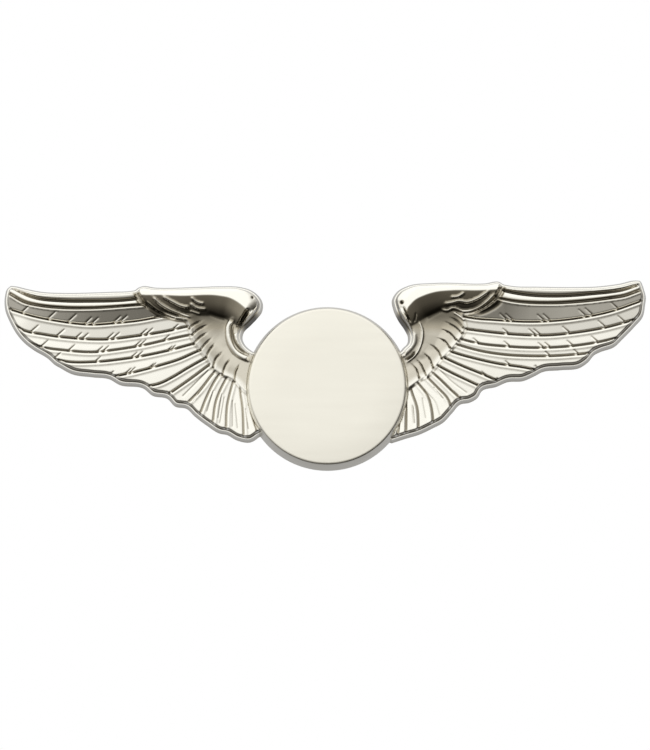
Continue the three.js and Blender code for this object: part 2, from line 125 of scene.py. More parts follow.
# ---------------------------------------------------------------- artwork of the two wings
# Points are (distance out from the disc's axis, height up). Lines are smooth curves through them.
LEFT = {
    "low_edge": [
        (37.75, 12.45), (38.2, 12.05), (38.42, 11.3), (38.4, 9.6), (37.72, 7.88), (36.9, 6.5), (36.0, 5.5),
        (35.1, 4.8), (33.15, 3.6), (32.45, 2.95), (31.85, 2.6), (30.45, 1.85), (27.9, 1.45), (25.9, 1.2),
        (24.75, 0.55), (21.8, 0.05), (20.8, -0.75), (19.0, -1.15), (18.1, -2.05), (16.7, -2.35),
        (15.8, -3.2), (14.3, -4.35), (12.75, -5.3), (11.95, -5.45), (10.75, -6.1), (9.15, -6.35),
        (7.9, -5.6),
    ],
    "top_edge": [
        (37.15, 12.4), (35.9, 12.1), (34.15, 11.75), (31.45, 11.6), (28.25, 11.65), (25.4, 11.75),
        (23.4, 11.85), (22.9, 11.95), (22.6, 12.2), (22.1, 12.4), (20.55, 12.25), (15.9, 12.3),
        (12.75, 12.4), (10.35, 12.3), (9.15, 11.95), (8.35, 11.4), (7.7, 10.35), (7.8, 9.25), (8.35, 8.5),
        (9.15, 7.65), (9.95, 6.8), (10.1, 6.1), (9.83, 5.4), (9.25, 4.8), (8.8, 4.5),
    ],
    # from the tip downwards: the grooves between the beads and feathers, each from its inner end outwards
    "grooves": [
        [(21.5, 10.75), (22.6, 10.6), (23.95, 10.45), (28.25, 10.33), (31.45, 10.37), (34.85, 10.77),
         (37.05, 11.7)],
        [(20.5, 10.1), (21.6, 9.97), (23.3, 9.83), (28.25, 9.52), (31.45, 9.57), (34.15, 9.85),
         (35.9, 10.26), (37.75, 11.3)],
        [(16.0, 8.9), (19.2, 8.57), (22.6, 7.97), (25.35, 7.7), (27.7, 7.54), (32.1, 7.98), (34.85, 8.52),
         (37.6, 9.37)],
        [(14.0, 7.6), (16.9, 7.25), (18.7, 6.82), (22.6, 6.18), (26.0, 5.79), (30.75, 5.98), (33.5, 6.34),
         (36.6, 7.16), (37.5, 8.0)],
        [(13.5, 6.8), (16.5, 6.25), (18.7, 5.79), (21.6, 5.12), (25.0, 4.55), (27.7, 4.26), (31.1, 4.47),
         (34.15, 4.95), (36.1, 5.86)],
        [(13.2, 5.9), (16.0, 5.2), (18.7, 4.47), (21.2, 3.92), (24.3, 3.42), (27.4, 3.1), (31.45, 3.22),
         (34.1, 4.15)],
        [(12.8, 5.4), (15.5, 4.3), (17.5, 3.4), (20.2, 2.57), (23.2, 1.8), (26.2, 1.2)],
        [(12.4, 4.6), (14.7, 3.38), (16.7, 2.25), (18.3, 1.28), (19.9, 0.5), (21.9, 0.1)],
        [(12.0, 4.1), (14.2, 2.57), (15.9, 1.28), (17.5, 0.15), (19.2, -1.0)],
        [(11.6, 3.6), (13.5, 1.7), (15.1, -0.32), (16.6, -1.85)],
        [(11.2, 3.2), (12.95, 1.37), (14.3, -1.12), (15.1, -3.2)],
        [(10.8, 2.8), (12.2, 0.65), (13.15, -1.5), (13.6, -4.5)],
        [(10.6, 2.4), (11.3, 0.2), (11.85, -2.1), (12.0, -5.2)],
        [(10.3, 2.2), (10.3, -0.5), (10.05, -2.3), (9.9, -5.8)],
        [(9.6, 1.0), (9.3, -1.5), (8.7, -4.0), (8.0, -5.9)],
    ],
    "nicks": {  # feather: (distance out, length, distance to a twin)
        2: [(36.35, 0.75, 0), (33.3, 0.85, 0), (30.9, 0.9, 0), (28.9, 0.75, 0.75), (25.5, 0.8, 0.8)],
        3: [(35.3, 0.8, 0), (32.2, 0.8, 0), (29.9, 0.6, 0.85), (26.2, 0.7, 0.7), (22.2, 0.7, 0.65),
            (18.4, 0.6, 0)],
        4: [(34.0, 0.7, 0), (30.75, 0.65, 0), (27.4, 0.6, 0.7), (22.9, 0.65, 0.6), (19.5, 0.6, 0)],
        5: [(32.4, 0.65, 0), (27.6, 0.55, 0), (23.3, 0.6, 0.65), (19.0, 0.5, 0.4)],
        6: [(28.2, 0.7, 0.3), (24.0, 0.65, 0.45), (21.2, 0.5, 0.3)],
    },
    "ink": [0.95, 0.95, 1, 1, 0.95, 1, 1, 1, 0.9, 0.65, 0.6, 0.6, 0.6, 0.6, 0.5],  # painted shade along each groove
    "top_fall": [(22, 0.45), (25, 0.45), (31, 0.43), (37, 0.38)],  # of the top feather, along the wing
    "mantle_edge": [  # border between the feathers and the recess beside the disc
        (22.9, 11.6), (22.75, 10.9), (22.4, 10.2), (21.5, 9.6), (19.85, 8.6), (17.9, 8.05), (16.75, 7.8),
        (16.5, 7.2), (16.3, 6.25), (15.95, 5.45), (15.3, 4.6), (14.75, 3.8), (14.1, 3.0), (13.6, 2.2),
        (12.45, 1.4), (11.1, 0.75), (10.2, -0.2), (9.0, -1.2),
    ],
    "scale_side": -1,  # the side of a scale's line on which it is high
    "scales": [  # short lines round the recess, each from its outer end
        [(16.4, 7.05), (15.7, 7.6), (14.8, 7.95)], [(16.0, 6.3), (15.2, 7.0), (14.2, 7.5)],
        [(15.85, 5.2), (15.1, 6.0), (14.2, 6.6)], [(15.05, 4.45), (14.4, 5.3), (13.7, 5.95)],
        [(14.35, 3.6), (13.9, 4.6), (13.25, 5.35)], [(13.55, 2.4), (13.2, 3.5), (12.3, 4.35)],
        [(12.45, 1.5), (12.05, 2.7), (11.35, 3.65)], [(11.0, 0.7), (10.85, 1.9), (10.3, 2.95)],
    ],
    "crest": [  # of the arm
        (23.2, 11.2), (22.2, 11.0), (19.9, 10.95), (17.5, 10.85), (12.75, 10.85), (11.55, 10.6),
        (10.75, 10.2), (9.95, 9.6), (9.0, 8.7), (7.4, 7.6),
    ],
    "arm_end": [(22.95, 12.6), (22.65, 11.6), (22.2, 10.6), (21.4, 9.4)],
    "ridges": [  # line, half width, height
        ([(19.5, 10.75), (18.3, 10.1), (17.3, 9.65), (16.4, 9.5)], 0.17, 0.16),
        ([(20.7, 10.7), (19.9, 9.95), (18.7, 9.25), (17.5, 8.8), (16.2, 8.4)], 0.17, 0.18),
        ([(21.5, 10.2), (20.2, 9.2), (18.6, 8.55), (16.6, 8.1)], 0.14, 0.12),
        ([(16.15, 10.65), (15.5, 10.15), (14.65, 9.9)], 0.15, 0.14),
        ([(16.25, 9.95), (15.5, 9.45), (14.4, 9.3)], 0.15, 0.14),
        ([(16.3, 9.1), (15.1, 8.75)], 0.13, 0.1),
        ([(11.3, 8.1), (11.75, 7.3), (11.8, 6.4), (11.55, 5.3), (10.95, 4.3), (10.1, 3.7),
          (9.2, 3.35)], 0.38, 0.4),
        ([(10.85, 6.6), (10.6, 5.7), (10.0, 4.9), (9.0, 4.15)], 0.42, 0.28),
        ([(8.7, 9.1), (9.5, 8.1), (10.35, 6.8)], 0.13, 0.22),
    ],
    "creases": [  # line, half width, depth, painted shade
        ([(9.2, 9.4), (9.7, 8.6), (10.2, 7.8), (10.7, 6.8)], 0.38, 0.5, 1.0),
        ([(8.3, 9.4), (8.75, 8.3), (9.55, 7.1), (10.0, 6.2)], 0.3, 0.1, 0.75),
        ([(11.1, 7.9), (11.3, 6.6), (11.0, 5.4), (10.4, 4.6), (9.0, 3.8)], 0.2, 0.12, 0.8),
        ([(14.3, 9.0), (13.2, 8.5), (11.6, 8.1)], 0.4, 0.08, 0.95),
        ([(22.3, 10.5), (21.2, 9.75), (20.2, 9.1), (18.6, 8.6)], 0.45, 0.1, 0.95),
    ],
    "pocket": [  # heights in the recess beside the disc
        (10.4, 5.2, 2.2), (9.4, 4.4, 2.1), (12.9, 6.2, 1.7), (12.2, 4.8, 1.6), (11.2, 3.9, 1.6),
    ],
    "spot": (8.88, 10.64, 0.2),  # a small pit at the arm's inner end: place and radius
    "shafts": [  # fine lines along the lower feathers
        [(17.1, -1.0), (15.4, 0.7), (14.1, 2.0)], [(15.9, -1.6), (14.6, 0.3), (13.6, 1.6)],
        [(14.2, -2.8), (13.5, -0.4)], [(12.9, -3.6), (12.5, -0.8)], [(12.7, -4.2), (12.2, -1.2)],
        [(11.2, -4.6), (11.2, -1.6)], [(10.6, -4.8), (10.9, -2.0)], [(9.3, -4.9), (9.7, -2.6)],
    ],
}
RIGHT = {
    "low_edge": [
        (37.7, 12.3), (38.0, 10.95), (37.9, 10.15), (37.6, 8.7), (36.6, 7.5), (35.2, 6.05), (34.2, 5.1),
        (32.45, 4.45), (31.85, 4.15), (31.0, 3.2), (30.1, 2.6), (27.7, 2.3), (25.55, 2.05), (24.7, 1.6),
        (23.3, 1.0), (21.4, 0.85), (20.1, 0.3), (18.4, -0.2), (17.85, -1.05), (16.9, -1.6), (15.85, -1.8),
        (14.8, -2.9), (13.75, -4.0), (12.55, -4.65), (10.85, -5.45), (9.5, -5.85), (7.65, -6.45),
    ],
    "top_edge": [
        (37.3, 13.05), (36.85, 13.1), (34.8, 12.7), (32.45, 12.4), (28.9, 12.3), (25.3, 12.35),
        (21.7, 12.5), (21.0, 12.65), (20.6, 12.9), (18.8, 12.75), (12.8, 12.8), (9.5, 12.4), (8.4, 11.8),
        (7.7, 10.65), (7.9, 9.45), (8.45, 8.25), (9.25, 7.05), (9.6, 6.25), (9.5, 5.45), (9.0, 4.95),
        (8.65, 4.5),
    ],
    "grooves": [
        [(20.3, 11.8), (21.75, 11.43), (24.1, 11.07), (26.5, 10.95), (28.9, 11.0), (31.25, 11.2),
         (35.4, 11.75), (36.6, 12.15)],
        [(19.5, 10.9), (21.75, 10.4), (26.5, 10.13), (30.05, 10.33), (33.65, 10.77), (35.4, 11.07),
         (36.7, 11.55)],
        [(14.5, 8.9), (17.45, 8.28), (20.1, 8.07), (24.1, 7.87), (27.7, 8.05), (30.05, 8.35), (33.65, 9.1),
         (37.25, 10.35)],
        [(13.7, 7.5), (16.5, 7.0), (18.75, 6.7), (24.1, 6.27), (26.25, 6.27), (29.35, 6.57), (33.05, 7.2),
         (36.85, 8.25)],
        [(13.0, 6.8), (15.8, 5.8), (18.1, 5.25), (20.9, 4.95), (24.1, 4.77), (28.75, 4.95), (32.45, 5.5),
         (35.1, 6.15)],
        [(12.8, 6.1), (15.45, 5.15), (18.1, 4.4), (20.75, 3.97), (24.1, 3.78), (28.9, 3.93), (31.6, 4.25),
         (34.3, 5.2)],
        [(12.3, 5.4), (14.8, 4.27), (17.45, 3.5), (20.1, 2.9), (23.5, 2.4), (25.4, 2.0)],
        [(12.0, 4.6), (14.1, 3.48), (16.1, 2.56), (18.1, 1.75), (20.75, 0.6)],
        [(11.3, 3.7), (13.2, 2.6), (14.8, 1.75), (16.8, 0.8), (18.6, -0.05)],
        [(10.9, 3.4), (12.4, 1.87), (13.5, 0.88), (14.8, -0.4), (16.1, -1.6)],
        [(10.6, 2.6), (11.95, 1.15), (13.2, -0.12), (14.3, -1.3), (14.9, -2.9)],
        [(9.9, 1.6), (11.0, 0.25), (11.9, -0.92), (12.4, -2.5), (12.6, -4.5)],
        [(9.6, 1.0), (10.05, -0.6), (10.65, -2.3), (10.85, -5.2)],
        [(9.3, -1.0), (9.35, -3.0), (9.35, -5.6)],
        [(8.6, -1.5), (8.5, -4.0), (8.3, -6.2)],
    ],
    "nicks": {
        2: [(34.6, 0.75, 0), (31.6, 0.8, 0.8), (26.6, 0.75, 0.75), (22.2, 0.8, 0.7)],
        3: [(35.4, 0.7, 0), (33.1, 0.75, 0), (28.9, 0.75, 0), (25.4, 0.7, 0.6), (21.6, 0.6, 0)],
        4: [(32.2, 0.65, 0), (29.2, 0.6, 0), (26.5, 0.55, 0.75), (21.7, 0.6, 0), (18.1, 0.6, 0)],
        5: [(29.9, 0.5, 0), (26.5, 0.5, 0)],
        6: [(29.8, 0.6, 0), (26.5, 0.6, 0), (21.8, 0.5, 0)],
        7: [(21.4, 0.5, 0.3), (18.9, 0.5, 0)],
    },
    # painted shade along each groove
    "ink": [0.95, 0.95, 1, 1, 0.95, 0.9, 1, 1, 1, 0.85, 0.8, 0.8, 0.75, 0.7, 0.5],
    "top_fall": [(21, 0.43), (24, 0.34), (28, 0.29), (37, 0.27)],
    "mantle_edge": [
        (21.0, 12.4), (20.95, 11.8), (20.75, 11.1), (19.9, 10.4), (18.7, 9.5), (17.3, 8.85), (16.2, 8.55),
        (16.35, 8.0), (16.5, 7.2), (16.3, 6.5), (16.0, 5.95), (15.4, 5.2), (14.65, 4.35), (13.7, 3.4),
        (12.6, 2.0), (11.9, 1.25), (11.1, 0.85), (10.2, 0.2), (9.0, -0.8),
    ],
    "scale_side": 1,
    "scales": [
        [(16.1, 7.2), (15.5, 7.9), (14.5, 8.4)], [(16.0, 6.5), (15.1, 7.3), (13.9, 7.9)],
        [(15.3, 5.75), (14.6, 6.5), (13.6, 7.0)], [(14.55, 4.8), (13.95, 5.6), (13.15, 5.95)],
        [(13.6, 3.5), (13.1, 4.5), (12.15, 5.2)], [(12.55, 2.4), (12.2, 3.4), (11.4, 4.15)],
        [(11.5, 2.0), (11.2, 2.7), (10.65, 3.3)], [(10.9, 1.2), (10.6, 2.2), (9.9, 2.9)],
    ],
    "crest": [
        (22.0, 11.8), (20.6, 11.65), (18.1, 11.5), (14.8, 11.5), (12.8, 11.3), (11.5, 10.9), (10.4, 10.35),
        (9.8, 9.75), (9.0, 8.8), (7.4, 7.6),
    ],
    "arm_end": [(21.0, 13.2), (20.75, 12.2), (20.35, 11.3), (19.8, 10.3)],
    "ridges": [
        ([(14.7, 10.7), (15.45, 10.75), (16.25, 11.2)], 0.15, 0.14),
        ([(13.9, 9.95), (14.8, 10.07), (15.5, 10.25), (16.65, 10.15), (17.85, 10.55),
          (19.2, 11.4)], 0.17, 0.17),
        ([(13.5, 9.35), (14.3, 9.2), (14.85, 9.45), (16.1, 9.15), (17.45, 9.3), (18.8, 10.05),
          (19.9, 11.1)], 0.16, 0.17),
        ([(15.0, 9.0), (15.9, 8.4), (16.35, 8.0)], 0.14, 0.12),
        ([(8.6, 9.3), (9.05, 8.6), (9.9, 7.0), (10.05, 6.2)], 0.14, 0.25),
        ([(10.05, 6.5), (10.1, 5.5), (9.55, 4.7), (8.6, 3.9)], 0.62, 0.13),
        ([(10.9, 7.9), (11.3, 6.8), (11.2, 5.5), (10.6, 4.1), (9.4, 3.0)], 0.12, 0.12),
    ],
    "creases": [
        ([(9.0, 9.6), (9.4, 8.7), (9.95, 7.6)], 0.16, 0.25, 0.9),
        ([(10.5, 8.9), (10.45, 8.3), (10.3, 7.7)], 0.14, 0.15, 0.95),
        ([(8.1, 9.6), (8.6, 8.3), (9.35, 6.9), (9.7, 6.2)], 0.26, 0.1, 0.6),
        ([(10.5, 4.35), (9.95, 3.65), (9.2, 3.25)], 0.2, 0.18, 0.95),
        ([(14.2, 9.6), (12.8, 8.9), (11.3, 8.05)], 0.45, 0.08, 0.95),
        ([(20.9, 10.7), (20.2, 9.9), (19.0, 9.2), (17.4, 8.7)], 0.45, 0.1, 0.95),
    ],
    "pocket": [
        (10.4, 5.2, 2.1), (9.4, 4.4, 2.1), (12.9, 6.2, 1.87), (12.2, 4.8, 1.87), (11.2, 3.9, 1.93),
        (10.9, 5.1, 2.03),
    ],
    "spot": (8.85, 10.04, 0.3),
    "shafts": [
        [(13.1, 2.3), (14.8, 0.67), (16.5, -0.6)], [(13.0, 1.4), (14.4, 0.0), (15.5, -0.9)],
        [(12.7, 0.0), (13.7, -1.3)], [(11.6, -0.4), (12.9, -1.9), (13.4, -3.3)],
        [(11.3, -1.3), (11.7, -3.6)], [(10.1, -2.2), (10.3, -4.2)],
    ],
}


# ---------------------------------------------------------------- lines and heights
def smooth_line(points, step=0.25):
    """A smooth curve through the points, as many short straight pieces."""
    p = np.array(points, float)
    t = np.concatenate([[0], np.cumsum(np.hypot(*np.diff(p, axis=0).T))])
    slope = np.gradient(p, t, axis=0)
    s = np.linspace(0, t[-1], max(3, int(t[-1] / step) + 2))
    i = np.clip(np.searchsorted(t, s, side="right") - 1, 0, len(t) - 2)
    span = (t[i + 1] - t[i])[:, None]
    x = (s - t[i])[:, None] / span
    a, b = p[i], p[i + 1]
    ta, tb = slope[i] * span, slope[i + 1] * span
    return (
        a * (2 * x**3 - 3 * x**2 + 1)
        + ta * (x**3 - 2 * x**2 + x)
        + b * (3 * x**2 - 2 * x**3)
        + tb * (x**3 - x**2)
    )


def extended(line, start=0.0, end=0.0):
    """The line with a straight run added to each end."""
    first = line[0] + (line[0] - line[1]) / np.linalg.norm(line[0] - line[1]) * start
    last = line[-1] + (line[-1] - line[-2]) / np.linalg.norm(line[-1] - line[-2]) * end
    return np.vstack([first, line, last])


def measure(line, p, reach=None):
    """For each point: its distance from the line, signed positive on the left, and the share along it.
    Points further than reach from the line's box are given a distance of 99."""
    signed = np.full(len(p), 99.0)
    share = np.zeros(len(p))
    near = np.arange(len(p))
    if reach is not None:
        low, high = line.min(0) - reach, line.max(0) + reach
        near = np.flatnonzero(((p > low) & (p < high)).all(1))
    a, d = line[:-1], np.diff(line, axis=0)
    length2 = np.maximum((d**2).sum(1), 1e-12)
    chunk = max(200, 400000 // len(d))
    for start in range(0, len(near), chunk):
        rows = near[start : start + chunk]
        rx = p[rows, 0][:, None] - a[:, 0]
        rz = p[rows, 1][:, None] - a[:, 1]
        t = np.clip((rx * d[:, 0] + rz * d[:, 1]) / length2, 0, 1)
        ox, oz = rx - t * d[:, 0], rz - t * d[:, 1]
        far2 = ox**2 + oz**2
        k = far2.argmin(1)
        n = np.arange(len(rows))
        side = d[k, 0] * rz[n, k] - d[k, 1] * rx[n, k]
        signed[rows] = np.sqrt(far2[n, k]) * np.where(side >= 0, 1, -1)
        share[rows] = (k + t[n, k]) / len(d)
    return signed, share


def near_line(line, p, reach):
    """The points within reach of the line, their distance from it, and the share along it."""
    signed, share = measure(line, p, reach)
    near = np.abs(signed) < reach
    return near, np.abs(signed[near]), share[near]


def distance_from(place, p):
    """The distance of each point from a place."""
    return np.hypot(p[:, 0] - place[0], p[:, 1] - place[1])


def rise(x):
    """0 below 0, 1 above 1 and smooth between."""
    x = np.clip(x, 0, 1)
    return x * x * (3 - 2 * x)


def within(distance, full, fade):
    """1 up to the full distance, and falling smoothly to 0 over the fade beyond it."""
    return 1 - rise((distance - full) / fade)


def ease(x):
    """0 below 0 and 1 above 1: steepest at 0 and level at 1."""
    return np.sin(np.clip(x, 0, 1) * math.pi / 2)


def dome(x):
    """1 at the middle, round, and 0 from 1 outwards."""
    return np.sqrt(np.clip(1 - x**2, 0, 1))


def soft_max(a, b, blend):
    """The higher of two surfaces, with the corner between them rounded over blend."""
    return (a + b + np.sqrt((a - b) ** 2 + blend**2)) / 2


def field(spots, p, slack=0.02):
    """A smooth surface that passes the spots, (out, up, height), as closely as the slack lets it."""
    s = np.array(spots, float)
    n = len(s)

    def kernel(r2):
        return 0.5 * r2 * np.log(np.maximum(r2, 1e-9))

    here = kernel(((s[:, None, :2] - s[None, :, :2]) ** 2).sum(2))
    flat = np.column_stack([np.ones(n), s[:, :2]])
    whole = np.block([[here + slack * np.eye(n), flat], [flat.T, np.zeros((3, 3))]])
    weights = np.linalg.solve(whole, np.concatenate([s[:, 2], np.zeros(3)]))
    height = weights[n] + p @ weights[n + 1 :]
    for (u, z, _), w in zip(s, weights):
        height += w * kernel((p[:, 0] - u) ** 2 + (p[:, 1] - z) ** 2)
    return height


# ---------------------------------------------------------------- relief of one wing
def nicks(art):
    """The nicks in the feathers' lower edges, each from its groove up and towards the disc."""
    for i, places in art["nicks"].items():
        groove = smooth_line(art["grooves"][i], 0.1)
        for out, length, twin in places:
            for shift in (0.0, twin) if twin else (0.0,):
                foot = groove[np.abs(groove[:, 0] - out + shift).argmin()]
                step = np.array(NICK_WAY) * length * NICK_SCALE / math.hypot(*NICK_WAY)
                bend = np.array([-NICK_WAY[1], -NICK_WAY[0]]) * 0.03
                yield np.array([foot, foot + step * 0.5 - bend, foot + step])


def sunk(height, bottom, away, width, room):
    """The surface sunk to a groove's bottom, and back up over a side of the width, or less in a narrow
    band."""
    side = width * np.clip(room / 0.9, 0.5, 1)
    return bottom + (height - bottom) * ease(away / side)


def band_relief(art, i, base, over, under, out):
    """Height and painted shade of a band at its distances from the groove over it and the one under it."""
    ink = np.zeros(len(base))
    room = over + under
    top = i == TOP_FEATHER
    if i < TOP_FEATHER:
        high, power = BEADS[i]
        height = base + high * (1 - np.abs(2 * (over / room) - 1) ** power)
    elif top:
        # painted shade all over the top feather
        ink += TOP_INK
        high, place, half = TOP_EDGE
        height = base + np.interp(out, *zip(*art["top_fall"])) * np.minimum(under, FALL_WIDTH)
        height += high * within(np.abs(over - place), 0, half)
    else:
        fall = SECOND_FALL if i == TOP_FEATHER + 1 else LOWER_FALL
        high, place, half = FEATHER_EDGE
        height = base + fall * np.minimum(under, FALL_WIDTH)
        height += high * np.clip(room / 1.2, 0.35, 1) * within(np.abs(over - place), 0, half)
    if i > 0:
        height = sunk(height, base - GROOVE_DEPTH[i - 1], over, TOP_SIDE if top else HIGH_SIDE, room)
        # painted shade where the band rises out of the groove above it
        dark = 0.8 * within(over, 0.2, 0.16) if top else within(over, 0, 0.09)
        ink = np.maximum(ink, art["ink"][i - 1] * dark)
    if i < len(GROOVE_DEPTH):
        height = sunk(height, base - GROOVE_DEPTH[i], under, LOW_SIDE, room)
        # painted shade on the groove's side below the band; on the beads it fades out towards the tip
        bead = i < TOP_FEATHER
        fade = 1 - 0.6 * rise((out - 33) / 4) if bead else 1
        ink = np.maximum(ink, fade * art["ink"][i] * within(under, 0.17 if bead else 0.08, 0.09))
    return height, ink


def feathers(art, p, edge):
    """Height and painted shade of the beads and feathers, and the distance to the nearest groove."""
    base = field(FEATHER_SPOTS, p)
    above = [measure(extended(smooth_line(g, 0.5), *GROOVE_RUN), p)[0] for g in art["grooves"]]
    open_side = [np.full(len(p), OPEN_SIDE)]
    over = open_side + [-a for a in above]
    under = above + open_side
    inside = np.minimum(over, under)
    over[0] = edge
    band = inside.argmax(0)
    height, ink = base.copy(), np.zeros(len(p))
    for i in np.unique(band):
        rows = band == i
        height[rows], ink[rows] = band_relief(art, i, base[rows], over[i][rows], under[i][rows], p[rows, 0])
    for line in nicks(art):
        place, long, wide = NICK_GAP
        way = (line[-1] - line[0]) / np.linalg.norm(line[-1] - line[0])
        away = p - line[0] - np.array(place)
        gap = 0.95 * np.exp(-((away @ way / long) ** 2) - (away @ np.array([-way[1], way[0]]) / wide) ** 2)
        # the groove is filled at the nick's foot and its painted shade taken out there: a painted highlight
        ink *= 1 - gap
        height += np.maximum(base - height, 0) * gap
        signed, share = measure(line, p, 0.6)
        near = np.abs(signed) < 0.4
        off, along = signed[near], share[near]
        height[near] -= NICK_DEPTH * (1 - 0.5 * along) * (1 - ease(np.abs(off) / NICK_HALF))
        # painted shade along one side of the nick
        dark = NICK_INK * within(np.abs(off + 0.05), 0, 0.12) * (1 - 0.7 * along**2)
        ink[near] = np.maximum(ink[near], dark)
    for shaft in art["shafts"]:
        near, off, _ = near_line(smooth_line(shaft), p, 0.4)
        height[near] -= SHAFT_DEPTH * within(off, 0, 0.12)
        # painted shade along the shaft
        ink[near] = np.maximum(ink[near], SHAFT_INK * within(off, 0, 0.09))
    return height, ink, inside.max(0)


def from_ends(share):
    """The share of a line's length to its nearer end."""
    return np.minimum(share, 1 - share)


def add_ridges(art, p, height, ink):
    """Fine ridges, each with a painted shadow below, and broad ones that are flat on top; the painted shade
    is taken off the tops of both, a painted highlight.
    """
    for points, half, high in art["ridges"]:
        broad = half > BROAD
        signed, share = measure(smooth_line(points, 0.15), p, half * 2.5)
        near = np.abs(signed) < half
        ends = rise(from_ends(share[near]) / 0.12 + 0.25)
        x = np.abs(signed[near]) / half
        height[near] += high * ends * (within(x, 0.5, 0.5) if broad else dome(x))
        ink[near] *= 1 - ends * (0.9 if broad else 0.65) * within(x, 0.45, 0.4)
        if not broad:
            below = signed * np.sign(points[0][0] - points[-1][0])
            shadow = (below > half * 0.35) & (below < half * 2.4)
            dark = SHADOW_INK * rise(from_ends(share[shadow]) / 0.15)
            dark *= within(np.abs(below[shadow] / half - 1.15), 0, 1.1)
            ink[shadow] = np.maximum(ink[shadow], dark)


def cut_creases(art, p, height, ink):
    """Soft furrows, darkened with painted shade."""
    for points, half, deep, strong in art["creases"]:
        near, off, share = near_line(smooth_line(points, 0.15), p, half)
        ends = rise(from_ends(share) / 0.25)
        height[near] -= deep * ends * within(off / half, 0, 1)
        # painted shade in the furrow
        ink[near] = np.maximum(ink[near], strong * ends * within(off / half, 0.35, 0.65))


def mantle(art, p):
    """The recess beside the disc, the scales round it and the slope under the arm."""
    height = field(MANTLE_SPOTS + art["pocket"], p)
    # painted shade over the recess, darker higher up towards the arm
    ink = MANTLE_INK + 0.5 * rise((p[:, 1] - 6.3) / 2.4)
    lines = [extended(smooth_line(points, 0.15), 0.6, 0) for points in art["scales"]]
    away = np.full(len(p), OPEN_SIDE)
    fade = np.zeros(len(p))
    for line in lines:
        signed, share = measure(line, p, 2.0)
        signed = signed * art["scale_side"]
        closer = (signed > 0) & (signed < away)
        away[closer] = signed[closer]
        fade[closer] = within(share[closer], 0.55, 0.45)
    height += SCALE_FALL * np.minimum(away, 1.0) * fade * (away < 2)
    for line in lines:
        near, off, share = near_line(line, p, 0.5)
        fade = within(share, 0.6, 0.4)
        height[near] -= SCALE_CUT[0] * fade * (1 - ease(off / SCALE_CUT[1]))
        # painted shade along each scale's line
        ink[near] = np.maximum(ink[near], fade * within(off, 0.03, 0.11))
    return height, ink


def arm(art, p, edge):
    """The round bar along the top of the wing: it rises from the edge to a crisp crest and falls away.
    Gives its height, its painted shade, and the painted shade of the line round its outer end."""
    below, _ = measure(smooth_line(art["crest"], 0.2), p)
    c = np.maximum(below, 0)
    width = 1.15 + 1.1 * np.clip((10.5 - p[:, 0]) / 2.0, 0, 1)
    top = RIM_H + (ARM_H - RIM_H) * dome(1 - np.clip(edge / width, 0, 1))
    slope = ARM_H - 0.42 * c - 0.03 * c**2
    end, _ = measure(extended(smooth_line(art["arm_end"], 0.2), 2, 1), p)
    cap = 2.0 + 4.5 * np.maximum(-end, -1)
    # painted shade on the slope below the crest
    dark = (ARM_INK[0] * rise(c / 0.15) + ARM_INK[1] * rise((c - 0.8) / 1.3)) * (c > 0)
    outer_end = within(np.abs(end - 0.06), 0, 0.17) * np.where(p[:, 1] > 11.2, 0.35, 0.9)
    return np.minimum(np.minimum(top, slope), cap), dark, outer_end * (p[:, 1] > 9.9)


def wing_height(art, p, edge):
    """Height above the back plane, painted shade and distance to the nearest groove at each point of a wing.
    """
    height, ink, gap = feathers(art, p, edge)
    inner, inner_ink = mantle(art, p)
    border, _ = measure(extended(smooth_line(art["mantle_edge"], 0.2), 2, 2), p)
    inwards = -border
    step = rise(inwards / MANTLE_STEP + 0.5)
    bead, half = MANTLE_BEAD
    # painted highlight: the painted shade is lightened inside the recess's edge
    inner_ink -= np.minimum(inner_ink, EDGE_PAINTED_LIGHT * within(inwards, 0.3, 0.7))
    height = height + (inner - height) * step + bead * within(np.abs(inwards - half), 0, half)
    ink = ink + (inner_ink - ink) * step
    # painted shade along the foot of the step down to the recess
    foot = np.where(p[:, 0] > RECESS_END, 0.85, 0.3) * within(np.abs(inwards + 0.12), 0, 0.16)
    ink = np.maximum(ink, foot)
    # painted highlight along the bead at the recess's edge
    ink *= 1 - 0.95 * within(np.abs(inwards - 0.13), 0, 0.15) * (p[:, 0] < RECESS_END)
    # painted shade at the outer end of each scale
    for points in art["scales"]:
        ink = np.maximum(ink, SCALE_DOT_INK * within(distance_from(points[0], p), 0.06, 0.2))
    bar, bar_ink, outer_end = arm(art, p, edge)
    bar = np.where((inwards > -0.5) | (p[:, 1] > 10.5), bar, 0)
    ink = np.maximum(np.where(bar > height, bar_ink, ink), outer_end)
    height = soft_max(height, bar, 0.05)
    add_ridges(art, p, height, ink)
    cut_creases(art, p, height, ink)
    *place, r = art["spot"]
    off = distance_from(place, p)
    height -= 0.3 * within(off, 0, r)
    # painted shade in the pit
    ink = np.maximum(ink, within(off, r / 2, r / 2))
    return height, ink, gap


def edge_profile(height, edge):
    """Rounds the relief down to the struck rim and its leaning wall."""
    width, fullness = ROLL
    rolled = RIM_H + (height - RIM_H) * rise((edge - LIP) / width) ** fullness
    return np.where(edge < DRAFT, RIM_H * edge / DRAFT, np.where(edge < LIP, RIM_H, rolled))


